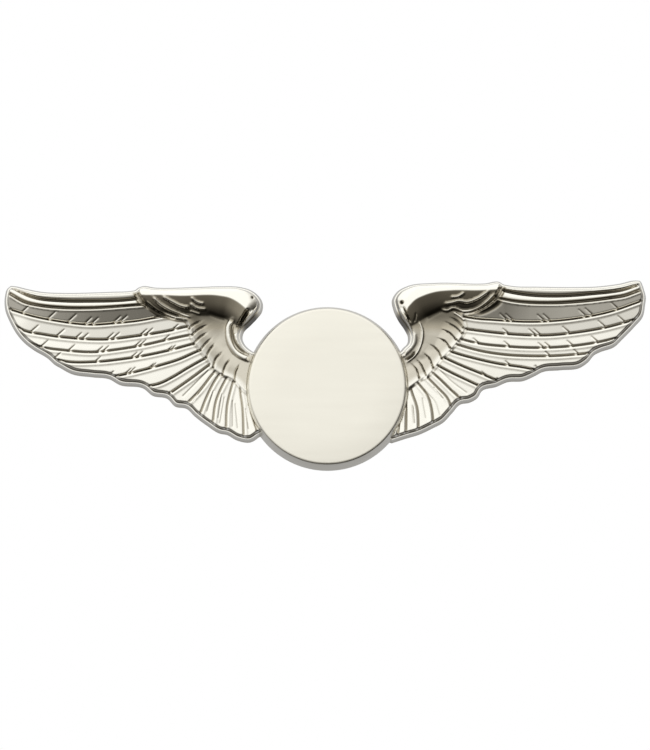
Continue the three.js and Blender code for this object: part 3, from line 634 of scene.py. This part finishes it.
# ---------------------------------------------------------------- the struck body
def body_outline():
    """The foot of the body's edge, once round: left wing, under the disc, right wing, and back.
    Also gives the share of its points that lie on the low side."""

    def outside(points):
        line = smooth_line(points, 0.16)
        return line[np.hypot(*line.T) > SEAT_R + 0.02]

    def arc(start, end):
        a, b = (math.atan2(z, x) for x, z in (start, end))
        angles = np.linspace(a, b, int(abs(b - a) * SEAT_R / GRID))
        return np.column_stack([np.cos(angles), np.sin(angles)])[1:-1] * SEAT_R

    left_low, right_low = outside(LEFT["low_edge"]) * (-1, 1), outside(RIGHT["low_edge"])
    left_top, right_top = (outside(art["low_edge"][:1] + art["top_edge"]) for art in (LEFT, RIGHT))
    left_top = left_top * (-1, 1)
    below = np.vstack([left_low, arc(left_low[-1], right_low[-1]), right_low[::-1]])
    loop = np.vstack([below, right_top[1:], arc(right_top[-1], left_top[-1]), left_top[::-1][:-1]])
    return loop, len(below) / len(loop)


def beside(line, distance):
    """The line moved to its left by a distance."""
    tangent = np.gradient(line, axis=0)
    tangent /= np.maximum(np.linalg.norm(tangent, axis=1), 1e-9)[:, None]
    return line + np.column_stack([-tangent[:, 1], tangent[:, 0]]) * distance


def closed(loop):
    """The loop with its first point again at its end."""
    return np.vstack([loop, loop[:1]])


def inward(loop, distance):
    """Points moved in from a closed loop by a distance, without those that would cross it."""
    tangent = np.roll(loop, -1, 0) - np.roll(loop, 1, 0)
    tangent /= np.linalg.norm(tangent, axis=1)[:, None]
    moved = loop + np.column_stack([-tangent[:, 1], tangent[:, 0]]) * distance
    off, _ = measure(closed(loop), moved)
    return moved[off > distance * 0.97]


def both(*distances):
    """A line itself, and the distances to its two sides."""
    return [0] + [way * d for d in distances for way in (-1, 1)]


def detail_rows(art):
    """Rows of points along the drawn lines of a wing and beside them, where its relief needs them."""
    kinds = [  # lines, spacing along them, distances
        (art["grooves"], 0.13, both(0.07, 0.14, 0.22, 0.32, 0.42)),
        ([art["mantle_edge"]], 0.11, both(0.09, 0.17) + [0.26, 0.36, -0.26]),
        ([art["crest"]], 0.11, both(0.07, 0.16)),
        ([art["arm_end"]], 0.1, both(0.1, 0.2, 0.3)),
        (art["shafts"], 0.1, both(0.06, 0.13)),
        (art["scales"], 0.1, both(0.08, 0.17)),
        (nicks(art), 0.08, both(0.07, 0.14)),
    ]
    for points, half, *_ in art["ridges"] + art["creases"]:
        kinds.append(([points], 0.1, both(*(half * k for k in (0.35, 0.7, 0.92)))))
    rows = []
    for lines, spacing, distances in kinds:
        for line in lines:
            route = smooth_line(line, spacing)
            rows += [beside(route, d) for d in distances]
    return rows


def thinned(points, cell):
    """The first point in each square of the cell's size, in the order given."""
    keys = np.round(points / cell).astype(np.int64)
    _, first = np.unique(keys, axis=0, return_index=True)
    return points[np.sort(first)]


def clear_of(points, others, distance):
    """The points that lie further than the distance from all the others."""
    taken = {}
    for k, v in zip(map(tuple, np.floor(others / distance).astype(int)), others):
        taken.setdefault(k, []).append(v)
    cells = [(dx, dz) for dx in (-1, 0, 1) for dz in (-1, 0, 1)]
    keep = []
    for k, v in zip(map(tuple, np.floor(points / distance).astype(int)), points):
        near = (w for dx, dz in cells for w in taken.get((k[0] + dx, k[1] + dz), ()))
        keep.append(all((w[0] - v[0]) ** 2 + (w[1] - v[1]) ** 2 > distance**2 for w in near))
    return points[np.array(keep, bool)]


def wings_points(loop):
    """Points of the relief: rows along the edge, along every drawn line and round the disc's well,
    and an even grid between them."""
    low, high = loop.min(0), loop.max(0)
    xs = np.arange(low[0], high[0], GRID)
    zs = np.arange(low[1], high[1], GRID * 0.866)
    x, z = np.meshgrid(xs, zs)
    x = x + (np.arange(len(zs)) % 2)[:, None] * GRID / 2
    grid = np.column_stack([x.ravel(), z.ravel()])

    def inside(points, distance):
        off, _ = measure(closed(loop), points)
        return points[off > distance]

    grid = inside(grid[np.hypot(*grid.T) > SEAT_R - 0.3], EDGE_ROWS[-1] + GRID * 0.5)
    edge_rows = [inward(loop, d) for d in EDGE_ROWS]
    drawn = [row * (side, 1) for art, side in ((LEFT, -1), (RIGHT, 1)) for row in detail_rows(art)]
    drawn = inside(np.vstack(drawn), EDGE_ROWS[-1] + 0.02)
    well = well_radius(WELL_TOP)
    drawn = thinned(drawn[np.hypot(*drawn.T) > well + 0.04], LINE_CELL)
    rings = []
    for ring_r, spacing in [(well - 0.02, GRID), (well, GRID)] + [(r, SEAT_GRID) for r in SEAT_RINGS]:
        turn = np.linspace(0, 2 * math.pi, int(2 * math.pi * well / spacing), endpoint=False)
        rings.append(inside(np.column_stack([np.cos(turn), np.sin(turn)]) * ring_r, 0.02))
    fixed = np.vstack([loop] + edge_rows + rings + [drawn])
    return np.vstack([fixed, clear_of(grid, fixed, GRID * 0.62)])


def well_radius(height):
    """Radius of the well round the disc's leaning wall at a height."""
    return DISC_FACE_R + (DISC_FACE_H - height) * DISC_WALL_LEAN + WELL_GAP


def wings_height(p, edge, on_low_edge):
    """Height and painted shade of the whole relief."""
    height, ink, gap = np.full(len(p), SEAT_H), np.zeros(len(p)), np.zeros(len(p))
    for art, side in ((LEFT, -1), (RIGHT, 1)):
        rows = p[:, 0] * side > 0
        height[rows], ink[rows], gap[rows] = wing_height(art, p[rows] * (side, 1), edge[rows])
    height = edge_profile(height, edge)
    # painted shade in a stroke along the low edge inside the lip, broken where grooves meet it
    stroke = within(np.abs(edge - LIP - 0.1), 0, 0.115) * rise((gap - 0.12) / 0.35)
    ink = ink * rise((edge - LIP) / 0.1)
    ink = np.where(on_low_edge, np.maximum(ink, EDGE_INK * stroke), ink)
    # painted shade on the struck edge's wall
    ink = np.where(edge < DRAFT - 0.01, WALL_INK, ink)
    # painted shade where the arm comes down to the disc
    off = np.hypot(np.abs(p[:, 0]) - NECK[0], p[:, 1] - NECK[1])
    ink = np.maximum(ink, NECK_INK * within(off, 0.7, 1.2) * within(edge, LIP, 0.2))
    on_seat = np.hypot(*p.T) < well_radius(WELL_TOP) - 0.01
    return np.where(on_seat, SEAT_H, height), ink


def new_object(name, points, faces, material):
    """A smooth-shaded piece with its points in millimetres."""
    mesh = bpy.data.meshes.new(name)
    mesh.from_pydata([tuple(v) for v in points], [], faces)
    mesh.polygons.foreach_set("use_smooth", [True] * len(mesh.polygons))
    mesh.materials.append(material)
    piece = bpy.data.objects.new(name, mesh)
    bpy.context.scene.collection.objects.link(piece)
    return piece


def filled(points, border):
    """Triangles over the points, inside the closed border that the first of them make."""
    found = delaunay_2d_cdt([Vector(v) for v in points], [], [list(range(border))], 1, 1e-7)
    return np.array([tuple(v) for v in found[0]]), [tuple(f) for f in found[2]]


def struck_wings(material, back_material):
    loop, low_share = body_outline()
    n = len(loop)
    p, faces = filled(wings_points(loop), n)
    edge, share = measure(closed(loop), p)
    edge = np.maximum(edge, 0)
    edge[:n] = 0
    height, ink = wings_height(p, edge, share < low_share)
    height[:n] = 0
    front = np.column_stack([p[:, 0], -height, p[:, 1]])
    back_faces = [f[::-1] for f in filled(p[:n], n)[1]]
    a, b, c = front[list(faces[0])]
    if np.cross(b - a, c - a)[1] > 0:
        faces = [f[::-1] for f in faces]
        back_faces = [f[::-1] for f in back_faces]
    piece = new_object("wings", front, faces + back_faces, material)
    mesh = piece.data
    mesh.materials.append(back_material)
    on_back = np.arange(len(mesh.polygons)) >= len(faces)
    mesh.polygons.foreach_set("material_index", on_back.astype(np.int32))
    ends = np.empty(2 * len(mesh.edges), np.int32)
    mesh.edges.foreach_get("vertices", ends)
    ends = ends.reshape(-1, 2)
    at_foot = (ends < n).all(1)
    at_lip = (np.abs(edge[ends] - DRAFT) < 0.02).all(1)
    mesh.attributes.new("sharp_edge", "BOOLEAN", "EDGE").data.foreach_set("value", at_foot | at_lip)
    # the painted shade of the relief, kept on its points for the metal's colour
    painted_shade = mesh.attributes.new("painted_shade", "FLOAT", "POINT")
    painted_shade.data.foreach_set("value", ink.astype(np.float32))
    return piece


# ---------------------------------------------------------------- materials
def add_node(tree, kind, inputs, **settings):
    """A shader node. Each of its inputs is given a value, or the output that feeds it."""
    node = tree.nodes.new("ShaderNode" + kind)
    for name, value in settings.items():
        setattr(node, name, value)
    for name, value in inputs.items():
        if isinstance(value, bpy.types.NodeSocket):
            tree.links.new(value, node.inputs[name])
        else:
            node.inputs[name].default_value = value
    return node


def new_material(name, base, roughness, metallic=1.0):
    material = bpy.data.materials.new(name)
    material.use_nodes = True
    shader = material.node_tree.nodes["Principled BSDF"]
    shader.inputs["Base Color"].default_value = (*base, 1)
    shader.inputs["Roughness"].default_value = roughness
    shader.inputs["Metallic"].default_value = metallic
    return material, material.node_tree, shader


def grain(tree, scale, stretch=(1, 1, 1)):
    """Noise in the object's own space; stretch makes the grain long across the low axes."""
    place = add_node(tree, "TexCoord", {}).outputs["Object"]
    vector = add_node(tree, "Mapping", {"Scale": stretch, "Vector": place}).outputs["Vector"]
    return add_node(tree, "TexNoise", {"Scale": scale, "Detail": 4.0, "Vector": vector}).outputs["Fac"]


def mapped(tree, value, low, high, start=0.0, end=1.0, kind="LINEAR"):
    """The value from start..end mapped to low..high."""
    ends = {"From Min": start, "From Max": end, "To Min": low, "To Max": high}
    return add_node(tree, "MapRange", {"Value": value, **ends}, interpolation_type=kind).outputs["Result"]


def blended(tree, share, a, b, kind="MIX"):
    """Two colours mixed by a share."""
    inputs = {"Factor": share, "A": a, "B": b}
    return add_node(tree, "Mix", inputs, data_type="RGBA", blend_type=kind).outputs["Result"]


def colour_scale(tree, value, stops):
    """The colour at a value from 0 to 1 between the stops, each a place and a colour."""
    node = add_node(tree, "ValToRGB", {"Fac": value})
    elements = node.color_ramp.elements
    while len(elements) < len(stops):
        elements.new(0.5)
    for element, (place, colour) in zip(elements, stops):
        element.position = place
        element.color = (*colour, 1)
    return node.outputs["Color"]


def tint(tree, shader, value, dark, light):
    colour = blended(tree, value, (*dark, 1), (*light, 1))
    tree.links.new(colour, shader.inputs["Base Color"])
    return colour


def worn(tree, shader, roughness_marks, roughness, relief_marks, strength, distance=0.00001):
    """Roughness between two values by one set of marks, and a little relief by another."""
    rough = mapped(tree, roughness_marks, *roughness)
    relief = add_node(tree, "Bump", {"Strength": strength, "Distance": distance, "Height": relief_marks})
    tree.links.new(rough, shader.inputs["Roughness"])
    tree.links.new(relief.outputs["Normal"], shader.inputs["Normal"])


def polished_metal():
    material, tree, shader = new_material("struck_metal", (0.9, 0.88, 0.83), 0.12)
    bare_colour = tint(tree, shader, grain(tree, 260), (0.93, 0.915, 0.865), (0.975, 0.96, 0.915))
    # the painted shade darkens the metal's colour, from bare to black
    amount = add_node(tree, "Attribute", {}, attribute_name="painted_shade").outputs["Fac"]
    dark = blended(tree, 1, bare_colour, colour_scale(tree, amount, PAINTED_SHADE_COLOURS), "MULTIPLY")
    tree.links.new(dark, shader.inputs["Base Color"])
    worn(tree, shader, grain(tree, 900), (0.1, 0.2), grain(tree, 1200), 0.02)
    return material


def brushed_metal():
    material, tree, shader = new_material("brushed_metal", (0.93, 0.91, 0.87), 0.3)
    tint(tree, shader, grain(tree, 60), (0.87, 0.845, 0.775), (0.91, 0.89, 0.83))
    lines = grain(tree, 1500, (0.06, 1, 1))
    worn(tree, shader, lines, (0.26, 0.4), lines, 0.12)
    return material


def plain_metal(name, dark, light, roughness, scale=700, stretch=(1, 1, 1)):
    material, tree, shader = new_material(name, light, sum(roughness) / 2)
    tint(tree, shader, grain(tree, scale / 3), dark, light)
    marks = grain(tree, scale, stretch)
    worn(tree, shader, marks, roughness, marks, 0.15, 0.00002)
    return material


def placed(piece, body, slot, *nodes, at=(0, 0, 0)):
    """Moves a piece from its own millimetres to its place and hands it to its body."""
    piece.data.transform(Matrix.Translation(Vector(at) * MM) @ Matrix.Scale(MM, 4))
    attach(piece, body)
    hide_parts(*nodes)
    return piece


# ---------------------------------------------------------------- turned, bent and cut shapes
CREASE_ANGLE = math.radians(38)


def rounded(corners, closed=False, steps=5):
    """A profile with its corners rounded: each corner is its two coordinates and its radius."""
    points = []
    count = len(corners)
    for i, (a, b, radius) in enumerate(corners):
        here = np.array((a, b), float)
        if radius == 0 or (not closed and i in (0, count - 1)):
            points.append(here)
            continue
        before = np.array(corners[i - 1][:2]) - here
        after = np.array(corners[(i + 1) % count][:2]) - here
        reach = min(radius, 0.49 * np.linalg.norm(before), 0.49 * np.linalg.norm(after))
        start = here + before / np.linalg.norm(before) * reach
        end = here + after / np.linalg.norm(after) * reach
        for t in np.linspace(0, 1, steps):
            points.append((1 - t) ** 2 * start + 2 * t * (1 - t) * here + t * t * end)
    return points


def joined_rings(name, rings, material, capped=True):
    """A closed piece through rings of points, with its corners creased; without caps the last ring
    joins the first."""
    count = len(rings[0])
    faces = []
    for i in range(len(rings) - 1 if capped else len(rings)):
        a, b = i * count, (i + 1) % len(rings) * count
        faces += [(a + k, a + (k + 1) % count, b + (k + 1) % count, b + k) for k in range(count)]
    if capped:
        faces += [tuple(range(count)), tuple((len(rings) - 1) * count + k for k in range(count))]
    piece = new_object(name, np.vstack(rings), faces, material)
    work = bmesh.new()
    work.from_mesh(piece.data)
    bmesh.ops.recalc_face_normals(work, faces=work.faces)
    work.to_mesh(piece.data)
    work.free()
    piece.data.set_sharp_from_angle(angle=CREASE_ANGLE)
    return piece


def lathe(name, corners, material, steps=96, closed=False):
    """A turned shape about the Y axis from a profile of radius, distance along it and corner radius.
    An open profile starts and ends on the axis, and is capped where it leaves it."""
    turn = np.linspace(0, 2 * math.pi, steps, endpoint=False)
    profile = rounded(corners, closed)
    rings = [np.column_stack([r * np.cos(turn), np.full(steps, y), r * np.sin(turn)]) for r, y in profile]
    return joined_rings(name, rings if closed else rings[1:-1], material, capped=not closed)


def block(name, low, high, material, corner=0.0):
    """A box with rounded edges."""
    low, high = np.array(low, float), np.array(high, float)
    work = bmesh.new()
    bmesh.ops.create_cube(work, size=1)
    for v in work.verts:
        v.co = Vector((low + high) / 2 + np.array(v.co) * (high - low))
    if corner:
        bmesh.ops.bevel(work, geom=work.edges, offset=corner, segments=2, profile=0.5, affect="EDGES")
    piece = new_object(name, [], [], material)
    work.to_mesh(piece.data)
    work.free()
    piece.data.polygons.foreach_set("use_smooth", [True] * len(piece.data.polygons))
    return piece


def combine(piece, tool, operation):
    """Cuts the tool from the piece or joins it to the piece, and removes the tool."""
    change = piece.modifiers.new("change", "BOOLEAN")
    change.operation = operation
    change.solver = "EXACT"
    change.object = tool
    bpy.context.view_layer.update()
    mesh = bpy.data.meshes.new_from_object(piece.evaluated_get(bpy.context.evaluated_depsgraph_get()))
    piece.modifiers.clear()
    piece.data = mesh
    bpy.data.objects.remove(tool)
    mesh.polygons.foreach_set("use_smooth", [True] * len(mesh.polygons))
    mesh.set_sharp_from_angle(angle=CREASE_ANGLE)


def disc(material):
    foot = SEAT_H + 0.02
    wall_foot = DISC_FACE_R + (DISC_FACE_H - foot) * DISC_WALL_LEAN
    corners = [
        (0, -foot, 0), (wall_foot, -foot, 0.08), (DISC_FACE_R, -DISC_FACE_H, 0.3),
        (DISC_FACE_R * 0.6, -DISC_FACE_H, 0), (0.02, -DISC_FACE_H, 0), (0, -DISC_FACE_H, 0),
    ]
    return lathe("disc", corners, material, steps=256)


# ---------------------------------------------------------------- posts and clutches
# Lengths about the post's axis; distances along +Y are from the flat back of the wings.
POST_X = 18.0
POST_Z = 6.3
POST_R = 0.575
POST_TIP = 8.2
PATCH_R = 2.4
PATCH_TOP = 0.6
PATCH_DISH = PATCH_TOP - 0.08  # the post stands in a shallow dish
POST_GRIPS = (3.2, 4.3, 5.4)
CLUTCH_Y = 1.9
JAW_THICK = 0.45
JAW_HALF_WIDTH = 1.4
JAW_REACH = 1.35
JAW_CORNER = 0.4
JAW_FRONT = {"outer": 3.4, "inner": 4.15}
JAW_SLOT_CLEAR = 0.15
TAB_X = 5.4
TAB_TOP = 7.0
TAB_HALF_WIDTH = 2.3
TAB_CORNER = 0.8
TAB_BEND = 0.4
TAB_RIBS = (-1.35, -0.68, 0.0, 0.68, 1.35)
RIB = (0.15, 0.24)  # height and half width
LUG = (3.2, 3.55, 0.6, 5.45)  # inner face, outer face, half width, top
WINDOW_R = 0.675
WINDOW_END = 1.475
WIRE_R = 0.17
WIRE_Y = 5.15
WIRE_END = [(0.0, 0.55), (0.08, 0.88), (0.16, 1)]  # rounded end: distance in from it, share of the radius
BOW_HALF = [(0, 2.45), (1.7, 2.1), (2.7, 1.3), (3.0, 0.5), (2.95, -0.3)]


def post_patch(name, material):
    corners = [
        (0, 0, 0), (0.02, 0, 0), (PATCH_R, 0, 0.05), (PATCH_R, 0.4, 0.2), (PATCH_R - 0.35, PATCH_TOP, 0.2),
        (1.75, PATCH_TOP, 0.1), (1.6, PATCH_DISH, 0.1), (0.02, PATCH_DISH, 0), (0, PATCH_DISH, 0),
    ]
    return lathe(name, corners, material, steps=64)


def post(name, material):
    corners = [
        (0, PATCH_DISH, 0), (0.02, PATCH_DISH, 0), (1.35, PATCH_DISH, 0.1), (1.1, 0.85, 0.15),
        (1.05, 1.05, 0.1), (POST_R, 1.1, 0.35),
    ]
    for y in POST_GRIPS:
        for depth, along in ((0, 0), (0.12, 0.15), (0.12, 0.35), (0, 0.5)):
            corners.append((POST_R - depth, y + along, 0.06))
    corners += [(POST_R, 6.7, 0.3), (0.14, POST_TIP - 0.1, 0.1), (0.01, POST_TIP, 0), (0, POST_TIP, 0)]
    return lathe(name, corners, material, steps=40)


def clutch_cup(name, material):
    front, back, rim = CLUTCH_Y, CLUTCH_Y + 0.5, CLUTCH_Y + 1.2
    corners = [
        (0.85, front + 0.25, 0.1), (1.6, front, 0.3), (5.7, front, 0.4), (5.7, rim, 0.18), (5.3, rim, 0.15),
        (5.3, back, 0.2), (0.85, back, 0.1),
    ]
    return lathe(name, corners, material, closed=True)


def clutch_cover(name, side, material):
    """The drum over the cup, with a slot in its wall for each jaw."""
    front, top = CLUTCH_Y + 0.6, 6.1
    inside, outside, flange, hole = 3.6, 4.1, 4.8, 0.85
    corners = [
        (inside, front, 0.05), (flange, front, 0.15), (flange, front + 0.4, 0.18),
        (outside, front + 0.4, 0.25), (outside, top, 0.6), (3.15, top, 0.1), (3.0, top - 0.13, 0.1),
        (2.3, top - 0.13, 0.1), (2.15, top, 0.1), (1.35, top, 0.2), (hole, top - 0.22, 0.1),
        (hole, top - 0.4, 0.05), (inside, top - 0.4, 0.1),
    ]
    piece = lathe(name, corners, material, closed=True)
    half = JAW_HALF_WIDTH + JAW_SLOT_CLEAR
    for which, way in (("outer", side), ("inner", -side)):
        y = JAW_FRONT[which] - JAW_SLOT_CLEAR
        x = sorted((way * (inside - 1), way * (outside + 1)))
        low, high = (x[0], y, -half), (x[1], y + JAW_THICK + 2 * JAW_SLOT_CLEAR, half)
        combine(piece, block("cutter", low, high, material), "DIFFERENCE")
    return piece


def jaw_stations(middle):
    """Cross-sections along the jaw: place out and back, turn, half width, thickness and rib height."""
    stations = []
    for d in (0.02, 0.08, 0.2, 0.4):
        w = JAW_HALF_WIDTH - JAW_CORNER + math.sqrt(JAW_CORNER**2 - (JAW_CORNER - d) ** 2)
        stations.append((d - JAW_REACH, middle, 0.0, w, JAW_THICK, 0.0))
    bend_x = TAB_X - TAB_BEND
    for x in (0, 1.5, 3.0, 4.2, 4.6, bend_x):
        stations.append((x, middle, 0.0, JAW_HALF_WIDTH, JAW_THICK, 0.0))
    for turn in np.linspace(0, math.pi / 2, 7)[1:]:
        w = JAW_HALF_WIDTH + (TAB_HALF_WIDTH - JAW_HALF_WIDTH) * float(rise(turn / (math.pi / 2)))
        x, y = bend_x + TAB_BEND * math.sin(turn), middle + TAB_BEND * (1 - math.cos(turn))
        stations.append((x, y, turn, w, JAW_THICK, 0.0))
    start, shoulder = middle + TAB_BEND, TAB_TOP - TAB_CORNER
    heights = list(np.linspace(start + 0.1, shoulder, 18))
    heights += [shoulder + TAB_CORNER * k for k in (0.3, 0.55, 0.75, 0.88, 0.96, 1.0)]
    for y in heights:
        over = max(0.0, y - shoulder)
        w = TAB_HALF_WIDTH - TAB_CORNER + math.sqrt(max(TAB_CORNER**2 - over**2, 0.0))
        thick = JAW_THICK * (1 - 0.45 * float(rise((y - TAB_TOP + 0.14) / 0.14)))
        rib = RIB[0] * float(rise((y - start - 0.35) / 0.2) * within(y, TAB_TOP - 0.75, 0.25))
        stations.append((TAB_X, y, math.pi / 2, max(w, 1.6), thick, rib))
    return stations


def jaw(name, side, front, material):
    """A plate that slides beside the post, its end bent up into a ribbed finger tab."""
    middle = front + JAW_THICK / 2
    across = np.linspace(-1, 1, 61)
    rings = []
    for x, y, turn, w, thick, rib in jaw_stations(middle):
        z = across * (w - 0.1)
        ribs = rib * np.max([dome((z - place) / RIB[1]) for place in TAB_RIBS], axis=0)
        outer = np.column_stack([z, -thick / 2 - ribs])
        inner = np.column_stack([z[::-1], np.full(len(z), thick / 2)])
        low, high = 0.07 - thick / 2, 0.16 - thick / 2
        end = np.array([(w - 0.03, low), (w, high), (w, -high), (w - 0.03, -low)])
        ring = np.vstack([outer, end, inner, -end])
        out, back = -math.sin(turn), math.cos(turn)
        rings.append(np.column_stack([side * (x + ring[:, 1] * out), y + ring[:, 1] * back, ring[:, 0]]))
    piece = joined_rings(name, rings, material)
    near, far, half, top = LUG
    x = sorted((side * near, side * far))
    combine(piece, block("lug", (x[0], middle, -half), (x[1], top, half), material, 0.08), "UNION")
    turn = np.linspace(-math.pi / 2, -1.5 * math.pi, 25)
    outline = [(WINDOW_END, -WINDOW_R)] + [(WINDOW_R * math.cos(a), WINDOW_R * math.sin(a)) for a in turn]
    outline.append((WINDOW_END, WINDOW_R))
    through = (front - 0.5, front + JAW_THICK + 0.5)
    window = [np.array([(side * a, y, b) for a, b in outline]) for y in through]
    combine(piece, joined_rings("window", window, material), "DIFFERENCE")
    return piece


def clutch_spring(name, material):
    half = smooth_line(BOW_HALF, 0.12)
    line = np.vstack([half[:0:-1] * (-1, 1), half])
    tangent = np.gradient(line, axis=0)
    tangent /= np.linalg.norm(tangent, axis=1)[:, None]
    stations = [(0, *end) for end in WIRE_END] + [(i, 0, 1) for i in range(1, len(line) - 1)]
    stations += [(-1, -back, share) for back, share in WIRE_END[::-1]]
    turn = np.linspace(0, 2 * math.pi, 14, endpoint=False)
    rings = []
    for i, back, share in stations:
        (x, z), (a, b) = line[i], tangent[i]
        out = WIRE_R * share * np.cos(turn)
        ring = [x + a * back - b * out, WIRE_Y + WIRE_R * share * np.sin(turn), z + b * back + a * out]
        rings.append(np.column_stack(ring))
    return joined_rings(name, rings, material)


# ---------------------------------------------------------------- studio
CAMERA_TILT = math.radians(-7)
CAMERA_AWAY = 0.6
FRAME_WIDTH_MM = 77.35
FRAME_HEIGHT_MM = FRAME_WIDTH_MM * 750 / 650
CAMERA_SIDE = -0.27 * MM
CAMERA_LIFT = 1.73 * MM
FLOOR_Z = -0.13
FLOOR_R = 6000
FLOOR_GLOW = 0.16
LIGHT_FROM = (-0.35, -0.55, 0.75)
# Brightness of the studio, from straight away from the main light (-1) to along it (1).
SKY = [
    (-1.0, 0.02), (-0.7, 0.025), (-0.35, 0.07), (-0.1, 0.18),
    (0.17, 0.48), (0.43, 0.82), (0.6, 1.08), (1.0, 1.15),
]
BEHIND = (0.34, 0.66)  # brightness behind the object, low and high up
BEHIND_FADE = (0.0, 0.35)  # how far behind it begins and is whole


def camera():
    data = bpy.data.cameras.new("camera")
    data.sensor_width = 36
    data.lens = 36 * CAMERA_AWAY / (FRAME_HEIGHT_MM * MM)
    data.clip_start, data.clip_end = 0.01, 20
    eye = bpy.data.objects.new("camera", data)
    bpy.context.scene.collection.objects.link(eye)
    back = Vector((0, -math.cos(CAMERA_TILT), math.sin(CAMERA_TILT)))
    up = Vector((0, math.sin(CAMERA_TILT), math.cos(CAMERA_TILT)))
    eye.location = back * CAMERA_AWAY + up * CAMERA_LIFT + Vector((CAMERA_SIDE, 0, 0))
    eye.rotation_euler = (-back).to_track_quat("-Z", "Y").to_euler()
    bpy.context.scene.camera = eye


def floor():
    """A pale floor under the badge. It isn't mirrored in the metal, which shows the dark side of the
    studio in its grooves."""
    turn = np.linspace(0, 2 * math.pi, 96, endpoint=False)
    points = np.column_stack([np.cos(turn), np.sin(turn), np.zeros(96)]) * FLOOR_R + (0, 0, FLOOR_Z / MM)
    material, tree, shader = new_material("floor", (0.9, 0.89, 0.87), 0.7, 0.0)
    tint(tree, shader, grain(tree, 40), (0.88, 0.875, 0.86), (0.93, 0.925, 0.915))
    shader.inputs["Emission Color"].default_value = (1, 0.99, 0.97, 1)
    shader.inputs["Emission Strength"].default_value = FLOOR_GLOW
    piece = new_object("floor", points, [tuple(range(96))], material)
    piece.data.transform(Matrix.Scale(MM, 4))
    piece.visible_glossy = False


def sky_colour(bright):
    """Warm where it is dark and nearly white where it is bright."""
    full = math.sqrt(min(bright, 1))
    return bright, bright * (0.915 + 0.08 * full), bright * (0.75 + 0.2 * full)


def studio():
    """The room that the metal mirrors: dark low down, bright towards the light, grey behind. The
    camera sees plain white."""
    scene = bpy.context.scene
    scene.view_settings.view_transform = "Standard"
    scene.world = bpy.data.worlds.new("studio")
    scene.world.use_nodes = True
    tree = scene.world.node_tree
    tree.nodes.clear()
    way = add_node(tree, "TexCoord", {}).outputs["Generated"]
    light = Vector(LIGHT_FROM).normalized()
    along = add_node(tree, "VectorMath", {0: way, 1: light}, operation="DOT_PRODUCT").outputs["Value"]
    stops = [((place + 1) / 2, sky_colour(bright)) for place, bright in SKY]
    front = colour_scale(tree, mapped(tree, along, 0, 1, -1), stops)
    split = add_node(tree, "SeparateXYZ", {0: way}).outputs
    behind = mapped(tree, split["Y"], 0, 1, *BEHIND_FADE, kind="SMOOTHSTEP")
    colour = blended(tree, behind, front, mapped(tree, split["Z"], *BEHIND, -1))
    room = add_node(tree, "Background", {"Color": colour}).outputs["Background"]
    white = add_node(tree, "Background", {"Color": (1, 1, 1, 1)}).outputs["Background"]
    seen = add_node(tree, "LightPath", {}).outputs["Is Camera Ray"]
    mix = add_node(tree, "MixShader", {"Fac": seen, 1: room, 2: white}).outputs["Shader"]
    add_node(tree, "OutputWorld", {"Surface": mix})


camera()
studio()
floor()
metal = polished_metal()
satin = plain_metal("satin_back", (0.66, 0.65, 0.61), (0.78, 0.77, 0.72), (0.3, 0.42), 2200)
plated = plain_metal("clutch_metal", (0.74, 0.725, 0.68), (0.86, 0.845, 0.79), (0.16, 0.3))
steel = plain_metal("post_steel", (0.55, 0.555, 0.56), (0.68, 0.68, 0.68), (0.22, 0.36), 900, (1, 0.15, 1))
solder = plain_metal("patch_metal", (0.5, 0.495, 0.47), (0.64, 0.63, 0.6), (0.34, 0.5), 900)
brass = plain_metal("spring_brass", (0.62, 0.47, 0.22), (0.76, 0.6, 0.32), (0.26, 0.4))
placed(struck_wings(metal, satin), "badge", "wings_metal", "wings_body")
placed(disc(brushed_metal()), "badge", "disc_metal", "center_disc")
for side, word in ((-1, "left"), (1, "right")):
    at = (side * POST_X, 0, POST_Z)
    clutch = f"clutch_{word}"
    placed(post_patch(f"patch_{word}", solder), "badge", "clutch_metal", f"post_base_{word}", at=at)
    placed(post(f"post_{word}", steel), "badge", "post_metal", f"post_pin_{word}", at=at)
    placed(clutch_cup(f"cup_{word}", plated), clutch, "clutch_metal", f"clutch_cup_{word}", at=at)
    placed(clutch_cover(f"cover_{word}", side, plated), clutch, "clutch_metal", f"clutch_cover_{word}", at=at)
    for which, way in (("outer", side), ("inner", -side)):
        node = f"jaw_{which}_{word}"
        piece = jaw(node, way, JAW_FRONT[which], plated)
        placed(piece, node, "clutch_metal", f"clutch_{node}", at=at)
    spring = clutch_spring(f"spring_{word}", brass)
    placed(spring, clutch, "spring_wire", f"clutch_spring_{word}", at=at)
    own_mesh(spring)
